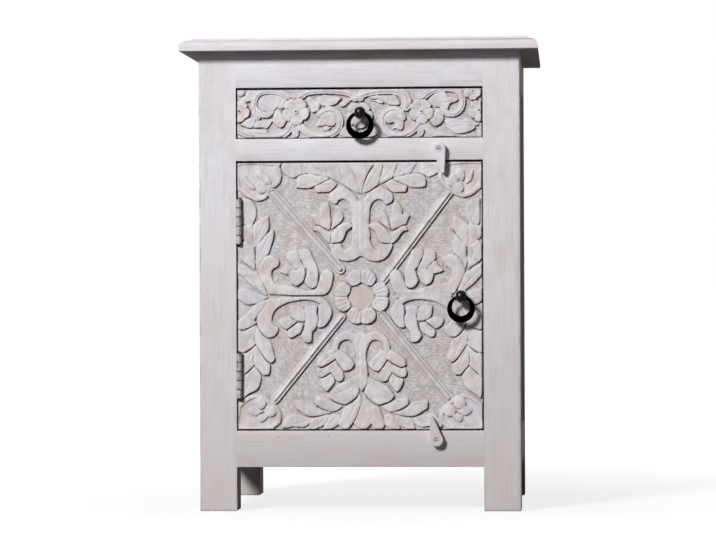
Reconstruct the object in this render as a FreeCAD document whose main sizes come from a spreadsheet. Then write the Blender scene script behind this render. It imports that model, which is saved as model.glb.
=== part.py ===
# Carved nightstand with one drawer, one door on butt hinges, ring pulls and wooden turn-buttons.
# Millimetres. X runs to the right, Y to the back and Z up. The front faces -Y, and the origin lies
# on the ground under the middle of the top board.
import FreeCAD, Part
import math
import os
import re
import Sketcher
from collections import namedtuple

# Driving dimensions, one cell of the sheet each
DIMENSIONS = {
    # top board
    "overall_height": 600,
    "top_width": 454,
    "top_depth": 380,
    "top_thickness": 16,
    "top_front_overhang": 22,
    "top_back_overhang": 8,
    "moulding_step": 2.5,
    "moulding_land": 4,
    "moulding_width": 13,
    # legs and rails
    "frame_width": 408,
    "leg_size": 47,
    "foot_height": 56,
    "bottom_rail_height": 46,
    "middle_rail_height": 28,
    "drawer_opening_height": 65,
    "top_rail_height": 46,
    "rail_thickness": 22,
    "tenon_thickness": 10,
    "tenon_wall": 3,
    "tenon_shoulder": 6,
    "joint_gap": 0.1,
    "mortise_end_gap": 1,
    # panels in grooves
    "panel_thickness": 8,
    "back_panel_thickness": 6,
    "groove_depth": 8,
    "panel_play": 0.8,
    # floor of the cupboard and the cleats
    "floor_thickness": 12,
    "floor_drop": 2,
    "floor_play": 0.5,
    "cleat_width": 18,
    "cleat_height": 20,
    "cleat_screw_inset": 30,
    "top_screw_inset": 60,
    # drawer runners, kickers and stops
    "runner_width": 24,
    "runner_height": 18,
    "runner_lip_height": 16,
    "runner_lip_gap": 0.5,
    "kicker_height": 22,
    "kicker_gap": 1.5,
    "stop_width": 12,
    "stop_length": 14,
    "stop_height": 16,
    "stop_setback": 3,
    "stop_gap": 0.5,
    "door_stop_width": 12,
    "door_stop_depth": 12,
    # drawer
    "drawer_side_gap": 1.5,
    "drawer_top_gap": 2.5,
    "drawer_bottom_gap": 1,
    "drawer_front_thickness": 20,
    "drawer_lap": 10,
    "drawer_depth": 305,
    "drawer_box_gap": 4,
    "drawer_side_thickness": 11,
    "drawer_side_height": 57,
    "drawer_back_thickness": 11,
    "drawer_back_setback": 6,
    "drawer_back_drop": 4,
    "drawer_bottom_thickness": 5,
    "drawer_bottom_lift": 9,
    "drawer_groove_depth": 5,
    "running_gap": 0.3,
    # door
    "door_side_gap": 1.5,
    "door_top_gap": 2.5,
    "door_bottom_gap": 1.5,
    "door_thickness": 20,
    # hinges
    "hinge_length": 58,
    "hinge_barrel_radius": 3.5,
    "hinge_pin_radius": 2.2,
    "hinge_pin_gap": 0.05,
    "hinge_leaf_thickness": 1.2,
    "hinge_leaf_width": 20,
    "hinge_axis_proud": 3,
    "hinge_notch_gap": 0.5,
    "knuckle_gap": 0.3,
    "upper_hinge_drop": 74.5,
    "lower_hinge_rise": 68.5,
    "hinge_screw_depth": 12,
    "hinge_screw_spacing": 19,
    # ring pulls
    "drawer_pull_offset": 2,
    "door_pull_inset": 26.5,
    "door_pull_rise": 168.5,
    "pull_standoff": 13,
    "pull_ball_radius": 7.8,
    "pull_neck_radius": 3.6,
    "pull_flange_radius": 6,
    "pull_flange_thickness": 1.5,
    "pull_shank_radius": 2.5,
    "pull_shank_gap": 0.1,
    "pull_shank_tail": 8,
    "pull_hole_waist": 2,
    "washer_radius": 6,
    "washer_thickness": 1,
    "nut_radius": 4.6,
    "nut_thickness": 4,
    "ring_outer_radius": 17.5,
    "ring_top_radius": 1.7,
    "ring_bottom_radius": 3.6,
    "ring_gap": 0.45,
    # turn-buttons
    "button_head_radius": 8.2,
    "button_tip_radius": 2.5,
    "button_reach": 29,
    "button_thickness": 9,
    "button_round": 1.2,
    "button_gap": 0.3,
    "upper_button_offset": 102,
    "lower_button_offset": 97.5,
    "lower_button_drop": 11.7,
    "upper_button_lean": -9,
    "lower_button_lean": 167,
    # screws and brads
    "screw_gap": 0.05,
    "hinge_screw_head_radius": 2.7,
    "hinge_screw_radius": 1.5,
    "hinge_screw_length": 16,
    "cleat_screw_head_radius": 4,
    "cleat_screw_radius": 2,
    "cleat_screw_length": 30,
    "runner_screw_head_radius": 4,
    "runner_screw_radius": 2,
    "runner_screw_length": 40,
    "button_screw_head_radius": 3.8,
    "button_screw_radius": 2,
    "button_screw_cover": 3.3,
    "screw_slot_width": 0.9,
    "screw_slot_length": 4,
    "screw_slot_depth": 1.2,
    "brad_radius": 0.9,
    "floor_brad_length": 38,
    "floor_brad_sunk": 0.8,
    "floor_brad_start": -104,
    "floor_brad_spacing": 64,
    "drawer_brad_length": 24,
    "drawer_brad_inset": 16,
}

# Planes and sizes that follow from the driving dimensions
PLACES = {
    "front_face": "top_front_overhang - top_depth / 2",
    "back_face": "top_depth / 2 - top_back_overhang",
    "frame_side": "frame_width / 2",
    "leg_inner": "frame_side - leg_size",
    "front_leg_back": "front_face + leg_size",
    "back_leg_front": "back_face - leg_size",
    "rail_back": "front_face + rail_thickness",
    "back_rail_front": "back_face - rail_thickness",
    "side_rail_inner": "frame_side - rail_thickness",
    "under_top": "overall_height - top_thickness",
    "floor_line": "foot_height + bottom_rail_height",
    "top_rail_bottom": "under_top - top_rail_height",
    "drawer_line": "top_rail_bottom - drawer_opening_height",
    "door_line": "drawer_line - middle_rail_height",
    "tenon_inset": "(rail_thickness - tenon_thickness) / 2",
    "tenon_length": "leg_size - tenon_inset - tenon_thickness - tenon_wall",
    "panel_shoulder": "groove_depth + 2",
    "panel_inset": "(rail_thickness - panel_thickness) / 2",
    "back_panel_inset": "(rail_thickness - back_panel_thickness) / 2",
    "floor_top": "floor_line - floor_drop",
    "floor_bottom": "floor_top - floor_thickness",
    "runner_inner": "leg_inner - runner_width",
    "kicker_bottom": "drawer_line + running_gap + drawer_side_height + kicker_gap",
    "drawer_half": "leg_inner - drawer_side_gap",
    "drawer_back_face": "front_face + drawer_front_thickness",
    "drawer_end": "front_face + drawer_depth",
    "drawer_low": "drawer_line + running_gap",
    "drawer_box_half": "leg_inner - drawer_box_gap",
    "drawer_inner_half": "drawer_box_half - drawer_side_thickness",
    "drawer_lap_front": "drawer_back_face - drawer_lap",
    "drawer_bottom_top": "drawer_low + drawer_bottom_lift + drawer_bottom_thickness",
    "drawer_front_low": "drawer_line + drawer_bottom_gap",
    "drawer_front_high": "top_rail_bottom - drawer_top_gap",
    "door_half": "leg_inner - door_side_gap",
    "door_low": "floor_line + door_bottom_gap",
    "door_high": "door_line - door_top_gap",
    "door_back_face": "front_face + door_thickness",
    "hinge_axis_x": "hinge_barrel_radius - leg_inner",
    "hinge_axis_y": "front_face - hinge_axis_proud",
    "hinge_plate_start": "hinge_axis_y + hinge_barrel_radius + knuckle_gap",
    "knuckle_pitch": "hinge_length / 5",
    "upper_hinge_height": "door_high - upper_hinge_drop",
    "lower_hinge_height": "door_low + lower_hinge_rise",
    "pull_axis_y": "front_face - pull_standoff",
    "drawer_pull_height": "(drawer_front_low + drawer_front_high) / 2",
    "door_pull_x": "door_half - door_pull_inset",
    "door_pull_height": "door_low + door_pull_rise",
    "ring_line_radius": "ring_outer_radius - ring_top_radius",
    "ring_hole_radius": "ring_top_radius + ring_gap",
    "ring_hole_flare": "1.6 * pull_ball_radius * pull_ball_radius / (2 * ring_line_radius)",
    "button_back": "front_face - button_gap",
    "button_front": "button_back - button_thickness",
    "button_screw_length": "button_thickness + button_gap + rail_thickness - button_screw_cover",
    "button_slope": "(button_head_radius - button_tip_radius) / button_reach",
    "button_side": "sqrt(1 - button_slope * button_slope)",
    "upper_button_height": "(door_line + drawer_line) / 2",
    "lower_button_height": "floor_line - lower_button_drop",
}

FRAME_KNUCKLES = (0, 2, 4)
DOOR_KNUCKLES = (1, 3)
RING_SECTIONS = 12
FLOOR_BRADS = 3
SIDES = ("left", "right")
ENDS = ("front", "back")

Block = namedtuple("Block", "x0 x1 y0 y1 z0 z1")
Spot = namedtuple("Spot", "kind axis x y z")

# How a solid that points up is turned to point along each axis
TURNS = {
    "+x": FreeCAD.Rotation(FreeCAD.Vector(0, 1, 0), 90),
    "-x": FreeCAD.Rotation(FreeCAD.Vector(0, 1, 0), -90),
    "+y": FreeCAD.Rotation(FreeCAD.Vector(1, 0, 0), -90),
    "-y": FreeCAD.Rotation(FreeCAD.Vector(1, 0, 0), 90),
    "+z": FreeCAD.Rotation(),
}

os.makedirs("parts", exist_ok=True)
doc = FreeCAD.newDocument("nightstand")
sheet = doc.addObject("Spreadsheet::Sheet", "Dims")
for row, (alias, size) in enumerate(DIMENSIONS.items(), start=1):
    sheet.set(f"A{row}", str(size))
    sheet.setAlias(f"A{row}", alias)
doc.recompute()

subparts = []
drilled = {}


# Formulas and bindings

def formula(text):
    """The text with its places written out and its dimensions as cells of the sheet."""
    def cell(match):
        word = match.group(0)
        if word in PLACES:
            return "(" + formula(PLACES[word]) + ")"
        if word in DIMENSIONS:
            return "Dims." + word
        return word
    return re.sub(r"[a-z][a-z0-9_]*", cell, str(text))


def number(text):
    """The value that a formula has now, for the first drawing of a sketch."""
    return float(sheet.evalExpression(formula(text)))


def bind(piece, **formulas):
    for name, text in formulas.items():
        piece.setExpression(name, formula(text))


def place(piece, x, y, z):
    for axis, text in zip("xyz", (x, y, z)):
        piece.setExpression("Placement.Base." + axis, formula(text))


def keep(*pieces):
    """Counts finished pieces among the sub-parts."""
    subparts.extend(pieces)


# Solids

def box(name, block):
    solid = doc.addObject("Part::Box", name)
    bind(solid, Length=f"({block.x1}) - ({block.x0})", Width=f"({block.y1}) - ({block.y0})",
         Height=f"({block.z1}) - ({block.z0})")
    place(solid, block.x0, block.y0, block.z0)
    return solid


def rod(name, axis, x, y, z, radius, length):
    solid = doc.addObject("Part::Cylinder", name)
    solid.Placement.Rotation = TURNS[axis]
    bind(solid, Radius=radius, Height=length)
    place(solid, x, y, z)
    return solid


def cone(name, axis, x, y, z, start_radius, end_radius, length):
    solid = doc.addObject("Part::Cone", name)
    solid.Placement.Rotation = TURNS[axis]
    bind(solid, Radius1=start_radius, Radius2=end_radius, Height=length)
    place(solid, x, y, z)
    return solid


def fuse(name, pieces):
    whole = doc.addObject("Part::MultiFuse", name)
    whole.Shapes = pieces
    return whole


def cut(name, piece, tools):
    """The piece with each tool taken out of it."""
    tool = tools[0]
    if len(tools) > 1:
        tool = fuse("tools", tools)
    rest = doc.addObject("Part::Cut", name)
    rest.Base = piece
    rest.Tool = tool
    return rest


def group(name, pieces):
    together = doc.addObject("Part::Compound", name)
    together.Links = pieces
    return together


def mirror(side, block):
    """A block written for the right-hand side, moved to the given side."""
    if side == "right":
        return block
    return block._replace(x0=f"-({block.x1})", x1=f"-({block.x0})")


def grow(block, x, y, z):
    """The block with each pair of faces moved outward."""
    return Block(f"{block.x0} - ({x})", f"{block.x1} + ({x})", f"{block.y0} - ({y})",
                 f"{block.y1} + ({y})", f"{block.z0} - ({z})", f"{block.z1} + ({z})")


# Screws, brads and the holes they sit in

def screw(name, spot, gap="0"):
    """A countersunk screw from its head's face along its axis, or its hole if there is a gap."""
    head_radius = f"{spot.kind}_head_radius + {gap}"
    radius = f"{spot.kind}_radius + {gap}"
    head_height = f"{spot.kind}_head_radius - {spot.kind}_radius"
    head = cone("head", spot.axis, spot.x, spot.y, spot.z, head_radius, radius, head_height)
    shank = rod("shank", spot.axis, spot.x, spot.y, spot.z, radius, f"{spot.kind}_length + {gap}")
    return fuse(name, [head, shank])


def drill(spots):
    """The holes for some screws: one hole serves each piece that the screw passes through."""
    holes = []
    for spot in spots:
        if spot not in drilled:
            drilled[spot] = screw("hole", spot, "screw_gap")
        holes.append(drilled[spot])
    return holes


def screws(name, spots):
    keep(group(name, [screw("screw", spot) for spot in spots]))


def side_spots(kind, side, x, ys, z):
    """Screws that point outward from the middle of the nightstand, on one side."""
    axis = "+x" if side == "right" else "-x"
    sign = "" if side == "right" else "-"
    return [Spot(kind, axis, f"{sign}({x})", y, z) for y in ys]


LEG_SCREW_PLACES = ("(rail_back + front_leg_back) / 2", "(back_leg_front + back_rail_front) / 2")
CLEAT_SCREW_PLACES = ("front_leg_back + cleat_screw_inset", "back_leg_front - cleat_screw_inset")
TOP_SCREW_PLACES = ("front_leg_back + top_screw_inset", "back_leg_front - top_screw_inset")


def runner_spots(side):
    return side_spots("runner_screw", side, "runner_inner", LEG_SCREW_PLACES,
                      "drawer_line - runner_height / 2")


def kicker_spots(side):
    return side_spots("runner_screw", side, "runner_inner", LEG_SCREW_PLACES,
                      "kicker_bottom + kicker_height / 2")


def floor_cleat_spots(side):
    return side_spots("cleat_screw", side, "side_rail_inner - cleat_width", CLEAT_SCREW_PLACES,
                      "floor_bottom - cleat_height / 2")


def top_cleat_spots(side):
    return side_spots("cleat_screw", side, "side_rail_inner - cleat_width", CLEAT_SCREW_PLACES,
                      "under_top - cleat_height / 2")


def top_spots(side):
    sign = "" if side == "right" else "-"
    x = f"{sign}(side_rail_inner - cleat_width / 2)"
    return [Spot("cleat_screw", "+z", x, y, "under_top - cleat_height") for y in TOP_SCREW_PLACES]


def hinge_spots(height, axis, face):
    y = "hinge_axis_y + hinge_screw_depth"
    heights = [f"{height} + {step} * hinge_screw_spacing" for step in (-1, 0, 1)]
    return [Spot("hinge_screw", axis, face, y, z) for z in heights]


def frame_leaf_spots(height):
    return hinge_spots(height, "-x", "hinge_leaf_thickness - leg_inner")


def door_leaf_spots(height):
    return hinge_spots(height, "+x", "hinge_axis_x + hinge_barrel_radius - hinge_leaf_thickness")


def button_spot(which):
    return Spot("button_screw", "+y", f"{which}_button_offset", "button_front", f"{which}_button_height")


def floor_brads(gap):
    middle = "(floor_top + floor_bottom) / 2"
    places = [f"floor_brad_start + {step} * floor_brad_spacing" for step in range(FLOOR_BRADS)]
    start = "front_face" if gap else "front_face + floor_brad_sunk"
    length = "floor_brad_length + floor_brad_sunk" if gap else "floor_brad_length"
    radius = "brad_radius + screw_gap" if gap else "brad_radius"
    return [rod("brad", "+y", x, start, middle, radius, length) for x in places]


def drawer_brads(side, gap):
    axis = "-x" if side == "right" else "+x"
    sign = "" if side == "right" else "-"
    radius = "brad_radius + screw_gap" if gap else "brad_radius"
    heights = ("drawer_low + drawer_brad_inset", "drawer_low + drawer_side_height - drawer_brad_inset")
    return [rod("brad", axis, f"{sign}(drawer_box_half)", "drawer_back_face - drawer_lap / 2", z, radius,
                "drawer_brad_length") for z in heights]


# Sketched pieces

def sketch_on(body, name, plane, outline):
    """A closed sketch. A corner with a third entry starts an arc of that radius, anticlockwise and
    under half a turn, to the next corner."""
    sketch = body.newObject("Sketcher::SketchObject", name)
    role = [feature for feature in body.Origin.OriginFeatures if feature.Role == plane][0]
    sketch.AttachmentSupport = (role, [""])
    sketch.MapMode = "FlatFace"
    corners = [FreeCAD.Vector(number(corner[0]), number(corner[1]), 0) for corner in outline]
    count = len(outline)
    for index, corner in enumerate(outline):
        start = corners[index]
        end = corners[(index + 1) % count]
        edge = Part.LineSegment(start, end)
        if len(corner) == 3:
            edge = arc_between(start, end, number(corner[2]))
        sketch.addGeometry(edge, False)
    for index in range(count):
        sketch.addConstraint(Sketcher.Constraint("Coincident", index, 2, (index + 1) % count, 1))
    for index, corner in enumerate(outline):
        fix(sketch, Sketcher.Constraint("DistanceX", -1, 1, index, 1, number(corner[0])), corner[0])
        fix(sketch, Sketcher.Constraint("DistanceY", -1, 1, index, 1, number(corner[1])), corner[1])
        if len(corner) == 3:
            fix(sketch, Sketcher.Constraint("Radius", index, number(corner[2])), corner[2])
    return sketch


def arc_between(start, end, radius):
    chord = end - start
    across = FreeCAD.Vector(-chord.y, chord.x, 0).normalize()
    middle = (start + end) * 0.5
    center = middle + across * math.sqrt(max(radius ** 2 - (chord.Length / 2) ** 2, 0))
    first = math.atan2(start.y - center.y, start.x - center.x)
    last = math.atan2(end.y - center.y, end.x - center.x)
    return Part.ArcOfCircle(Part.Circle(center, FreeCAD.Vector(0, 0, 1), radius), first, last)


def fix(sketch, constraint, text):
    index = sketch.addConstraint(constraint)
    sketch.setExpression(f"Constraints[{index}]", formula(text))


def pad(body, name, sketch, length):
    feature = body.newObject("PartDesign::Pad", name)
    feature.Profile = sketch
    bind(feature, Length=length)
    doc.recompute()
    return feature


def edges_where(feature, test):
    """Names of the feature's edges whose two ends both pass the test."""
    names = []
    for index, edge in enumerate(feature.Shape.Edges, start=1):
        if all(test(vertex.Point) for vertex in edge.Vertexes):
            names.append(f"Edge{index}")
    return names


def fillet(body, name, feature, edges, radius):
    rounding = body.newObject("PartDesign::Fillet", name)
    rounding.Base = (feature, edges)
    bind(rounding, Radius=radius)
    doc.recompute()
    return rounding


# Carcass

def make_top_board():
    """A board with a quarter-round edge and a small step on the front and the two ends."""
    body = doc.addObject("PartDesign::Body", "top_blank")
    half_width = "top_width / 2"
    half_depth = "top_depth / 2"
    slab_outline = [(f"-{half_width}", f"-{half_depth}"), (half_width, f"-{half_depth}"),
                    (half_width, half_depth), (f"-{half_width}", half_depth)]
    slab = pad(body, "slab", sketch_on(body, "slab_outline", "XY_Plane", slab_outline),
               "top_thickness - moulding_step")
    rim = number("top_thickness - moulding_step")
    back = number(half_depth)
    on_rim = edges_where(slab, lambda point: abs(point.z - rim) < 0.01)
    at_back = edges_where(slab, lambda point: abs(point.y - back) < 0.01)
    fillet(body, "rounded_edge", slab, [edge for edge in on_rim if edge not in at_back],
           "top_thickness - moulding_step - moulding_land")
    field_side = f"{half_width} - moulding_width"
    field_front = f"moulding_width - {half_depth}"
    field_outline = [(f"-({field_side})", field_front), (field_side, field_front),
                     (field_side, half_depth), (f"-({field_side})", half_depth)]
    pad(body, "raised_field", sketch_on(body, "field_outline", "XY_Plane", field_outline),
        "top_thickness")
    place(body, "0", "0", "under_top")
    keep(cut("top_board", body, drill(top_spots("left") + top_spots("right"))))


def rail_heights():
    return {"top": ("top_rail_bottom", "under_top"),
            "middle": ("door_line", "drawer_line"),
            "bottom": ("foot_height", "floor_line")}


def front_rail_blocks(level):
    """A front rail between the legs, and the bar that makes its two tenons."""
    low, high = rail_heights()[level]
    body = Block("-leg_inner", "leg_inner", "front_face", "rail_back", low, high)
    bar = grow(body, "tenon_length", "-tenon_inset", "-tenon_shoulder")
    return body, bar


def back_rail_blocks(level):
    low, high = rail_heights()[level]
    body = Block("-leg_inner", "leg_inner", "back_rail_front", "back_face", low, high)
    bar = grow(body, "tenon_length", "-tenon_inset", "-panel_shoulder")
    return body, bar


def side_rail_blocks(side, level):
    low, high = rail_heights()[level]
    body = mirror(side, Block("side_rail_inner", "frame_side", "front_leg_back", "back_leg_front", low, high))
    bar = grow(body, "-tenon_inset", "tenon_length", "-panel_shoulder")
    return body, bar


def leg_block(side, end):
    front, back = ("front_face", "front_leg_back") if end == "front" else ("back_leg_front", "back_face")
    return mirror(side, Block("leg_inner", "frame_side", front, back, "0", "under_top"))


def side_panel_block(side):
    """The side panel as large as its grooves."""
    return mirror(side, Block("side_rail_inner + panel_inset", "frame_side - panel_inset",
                              "front_leg_back - groove_depth", "back_leg_front + groove_depth",
                              "floor_line - groove_depth", "top_rail_bottom + groove_depth"))


def back_panel_block():
    return Block("-leg_inner - groove_depth", "leg_inner + groove_depth",
                 "back_rail_front + back_panel_inset", "back_face - back_panel_inset",
                 "floor_line - groove_depth", "top_rail_bottom + groove_depth")


def side_groove(side):
    return box("side_groove", grow(side_panel_block(side), "joint_gap", "0", "0"))


def back_groove():
    return box("back_groove", grow(back_panel_block(), "0", "joint_gap", "0"))


def make_legs():
    for side in SIDES:
        for end in ENDS:
            tools = [side_groove(side)]
            for level in ("top", "bottom"):
                bar = side_rail_blocks(side, level)[1]
                tools.append(box("mortise", grow(bar, "joint_gap", "mortise_end_gap", "joint_gap")))
            if end == "front":
                bars = [front_rail_blocks(level)[1] for level in ("top", "middle", "bottom")]
            else:
                bars = [back_rail_blocks(level)[1] for level in ("top", "bottom")]
                tools.append(back_groove())
            for bar in bars:
                tools.append(box("mortise", grow(bar, "mortise_end_gap", "joint_gap", "joint_gap")))
            tools += drill([runner_spots(side)[ENDS.index(end)], kicker_spots(side)[ENDS.index(end)]])
            if (side, end) == ("left", "front"):
                for height in ("upper_hinge_height", "lower_hinge_height"):
                    tools += drill(frame_leaf_spots(height))
            keep(cut(f"{end}_{side}_leg", box("post", leg_block(side, end)), tools))


def make_rails():
    for level in ("top", "middle", "bottom"):
        body, bar = front_rail_blocks(level)
        rail = fuse("front_rail", [box("body", body), box("tenons", bar)])
        name = f"front_{level}_rail"
        if level == "top":
            rail.Label = name
            keep(rail)
        elif level == "middle":
            keep(cut(name, rail, drill([button_spot("upper")])))
        else:
            keep(cut(name, rail, drill([button_spot("lower")]) + floor_brads(True)))
    for level in ("top", "bottom"):
        body, bar = back_rail_blocks(level)
        rail = fuse("back_rail", [box("body", body), box("tenons", bar)])
        keep(cut(f"back_{level}_rail", rail, [back_groove()]))
        for side in SIDES:
            body, bar = side_rail_blocks(side, level)
            rail = fuse("side_rail", [box("body", body), box("tenons", bar)])
            spots = top_cleat_spots(side) if level == "top" else floor_cleat_spots(side)
            keep(cut(f"{side}_side_{level}_rail", rail, [side_groove(side)] + drill(spots)))


def make_panels():
    for side in SIDES:
        panel = grow(side_panel_block(side), "0", "-panel_play", "-panel_play")
        keep(box(f"{side}_side_panel", panel))
    keep(box("back_panel", grow(back_panel_block(), "-panel_play", "0", "-panel_play")))


def make_floor():
    floor = Block("floor_play - side_rail_inner", "side_rail_inner - floor_play", "rail_back",
                  "back_rail_front - floor_play", "floor_bottom", "floor_top")
    notches = [box("notch", grow(leg_block(side, end), "floor_play", "floor_play", "0"))
               for side in SIDES for end in ENDS]
    keep(cut("floor_panel", box("floor", floor), notches + floor_brads(True)))
    keep(group("floor_brads", floor_brads(False)))


def make_cleats():
    spots = []
    for side in SIDES:
        strip = Block("side_rail_inner - cleat_width", "side_rail_inner", "front_leg_back", "back_leg_front",
                      "floor_bottom - cleat_height", "floor_bottom")
        keep(cut(f"{side}_floor_cleat", box("strip", mirror(side, strip)), drill(floor_cleat_spots(side))))
        strip = strip._replace(z0="under_top - cleat_height", z1="under_top")
        keep(cut(f"{side}_top_cleat", box("strip", mirror(side, strip)),
                 drill(top_cleat_spots(side) + top_spots(side))))
        spots += floor_cleat_spots(side) + top_cleat_spots(side) + top_spots(side)
    screws("cleat_screws", spots)


def make_runners():
    """Runners with a guide lip under the drawer, kickers above it and stops behind it."""
    spots = []
    stops = []
    for side in SIDES:
        base = Block("runner_inner", "leg_inner", "rail_back", "back_rail_front",
                     "drawer_line - runner_height", "drawer_line")
        lip = base._replace(x0="drawer_box_half + runner_lip_gap", z0="drawer_line - runner_height",
                            z1="drawer_line + runner_lip_height")
        runner = fuse("runner", [box("base", mirror(side, base)), box("lip", mirror(side, lip))])
        keep(cut(f"{side}_runner", runner, drill(runner_spots(side))))
        kicker = base._replace(y0="max(rail_back; drawer_back_face + stop_gap)", z0="kicker_bottom",
                               z1="kicker_bottom + kicker_height")
        keep(cut(f"{side}_kicker", box("kicker", mirror(side, kicker)), drill(kicker_spots(side))))
        stop = Block("runner_inner + stop_setback", "runner_inner + stop_setback + stop_width",
                     "drawer_end + stop_gap", "drawer_end + stop_gap + stop_length",
                     "drawer_line", "drawer_line + stop_height")
        stops.append(box("stop", mirror(side, stop)))
        spots += runner_spots(side) + kicker_spots(side)
    screws("runner_screws", spots)
    keep(group("drawer_stops", stops))


def make_door_stop():
    strip = Block("leg_inner - door_stop_width", "leg_inner", "door_back_face + running_gap",
                  "door_back_face + running_gap + door_stop_depth", "floor_line", "door_line")
    keep(box("door_stop_strip", strip))


# Drawer

def drawer_side_block(side):
    return mirror(side, Block("drawer_inner_half", "drawer_box_half", "drawer_lap_front", "drawer_end",
                              "drawer_low", "drawer_low + drawer_side_height"))


def drawer_back_block():
    return Block("-drawer_inner_half - drawer_groove_depth", "drawer_inner_half + drawer_groove_depth",
                 "drawer_end - drawer_back_setback - drawer_back_thickness",
                 "drawer_end - drawer_back_setback", "drawer_bottom_top",
                 "drawer_low + drawer_side_height - drawer_back_drop")


def drawer_bottom_block():
    return Block("-drawer_inner_half - drawer_groove_depth", "drawer_inner_half + drawer_groove_depth",
                 "drawer_back_face - drawer_groove_depth", "drawer_end - drawer_back_setback",
                 "drawer_low + drawer_bottom_lift", "drawer_bottom_top")


def make_drawer():
    front = Block("-drawer_half", "drawer_half", "front_face", "drawer_back_face",
                  "drawer_front_low", "drawer_front_high")
    bottom_groove = box("bottom_groove", grow(drawer_bottom_block(), "joint_gap", "joint_gap", "joint_gap"))
    back_dado = box("back_dado", grow(drawer_back_block()._replace(z1="drawer_low + drawer_side_height"),
                                      "joint_gap", "joint_gap", "joint_gap"))
    pull_hole = rod("pull_hole", "+y", "drawer_pull_offset", "front_face", "drawer_pull_height",
                    "pull_shank_radius + pull_shank_gap", "drawer_front_thickness")
    tools = [bottom_groove, pull_hole]
    for side in SIDES:
        lap = mirror(side, Block("drawer_inner_half - joint_gap", "leg_inner", "drawer_lap_front - joint_gap",
                                 "drawer_back_face", "drawer_line", "top_rail_bottom"))
        tools += [box("lap", lap)] + drawer_brads(side, True)
        keep(cut(f"drawer_{side}_side", box("side", drawer_side_block(side)),
                 [bottom_groove, back_dado] + drawer_brads(side, True)))
    keep(cut("drawer_front", box("front", front), tools))
    keep(box("drawer_back", drawer_back_block()))
    keep(box("drawer_bottom", drawer_bottom_block()))
    keep(group("drawer_brads", drawer_brads("left", False) + drawer_brads("right", False)))


# Door and hinges

def hinge_notch(height):
    return box("hinge_notch", Block("-leg_inner", "hinge_axis_x + hinge_barrel_radius", "front_face",
                                    "hinge_axis_y + hinge_leaf_width + hinge_notch_gap",
                                    f"{height} - hinge_length / 2 - hinge_notch_gap",
                                    f"{height} + hinge_length / 2 + hinge_notch_gap"))


def make_door():
    slab = Block("-door_half", "door_half", "front_face", "door_back_face", "door_low", "door_high")
    pull_hole = rod("pull_hole", "+y", "door_pull_x", "front_face", "door_pull_height",
                    "pull_shank_radius + pull_shank_gap", "door_thickness")
    tools = [pull_hole]
    for height in ("upper_hinge_height", "lower_hinge_height"):
        tools += [hinge_notch(height)] + drill(door_leaf_spots(height))
    keep(cut("door_panel", box("slab", slab), tools))


def make_hinge_leaf(name, height, knuckles, leaf_start, spots):
    """A flat leaf with its own knuckles of the barrel, bored for the pin and the screws."""
    leaf_end = f"{leaf_start} + hinge_leaf_thickness"
    low = f"{height} - hinge_length / 2"
    plate = Block(leaf_start, leaf_end, "hinge_plate_start", "hinge_axis_y + hinge_leaf_width",
                  low, f"{height} + hinge_length / 2")
    solids = [box("plate", plate)]
    for knuckle in knuckles:
        start = f"{low} + {knuckle} * knuckle_pitch + knuckle_gap / 2"
        end = f"{low} + {knuckle + 1} * knuckle_pitch - knuckle_gap / 2"
        tab = plate._replace(y0="hinge_axis_y", y1="hinge_plate_start", z0=start, z1=end)
        solids.append(box("tab", tab))
        solids.append(rod("knuckle", "+z", "hinge_axis_x", "hinge_axis_y", start, "hinge_barrel_radius",
                          "knuckle_pitch - knuckle_gap"))
    bore = rod("bore", "+z", "hinge_axis_x", "hinge_axis_y", low, "hinge_pin_radius + hinge_pin_gap",
               "hinge_length")
    keep(cut(name, fuse("leaf", solids), [bore] + drill(spots)))


def make_hinges():
    frame_spots = []
    door_spots = []
    for which in ("upper", "lower"):
        height = f"{which}_hinge_height"
        make_hinge_leaf(f"{which}_hinge_frame_leaf", height, FRAME_KNUCKLES, "-leg_inner",
                        frame_leaf_spots(height))
        make_hinge_leaf(f"{which}_hinge_door_leaf", height, DOOR_KNUCKLES,
                        "hinge_axis_x + hinge_barrel_radius - hinge_leaf_thickness", door_leaf_spots(height))
        keep(rod(f"{which}_hinge_pin", "+z", "hinge_axis_x", "hinge_axis_y", f"{height} - hinge_length / 2",
                 "hinge_pin_radius", "hinge_length"))
        frame_spots += frame_leaf_spots(height)
        door_spots += door_leaf_spots(height)
    screws("hinge_frame_screws", frame_spots)
    screws("hinge_door_screws", door_spots)


# Ring pulls

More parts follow.
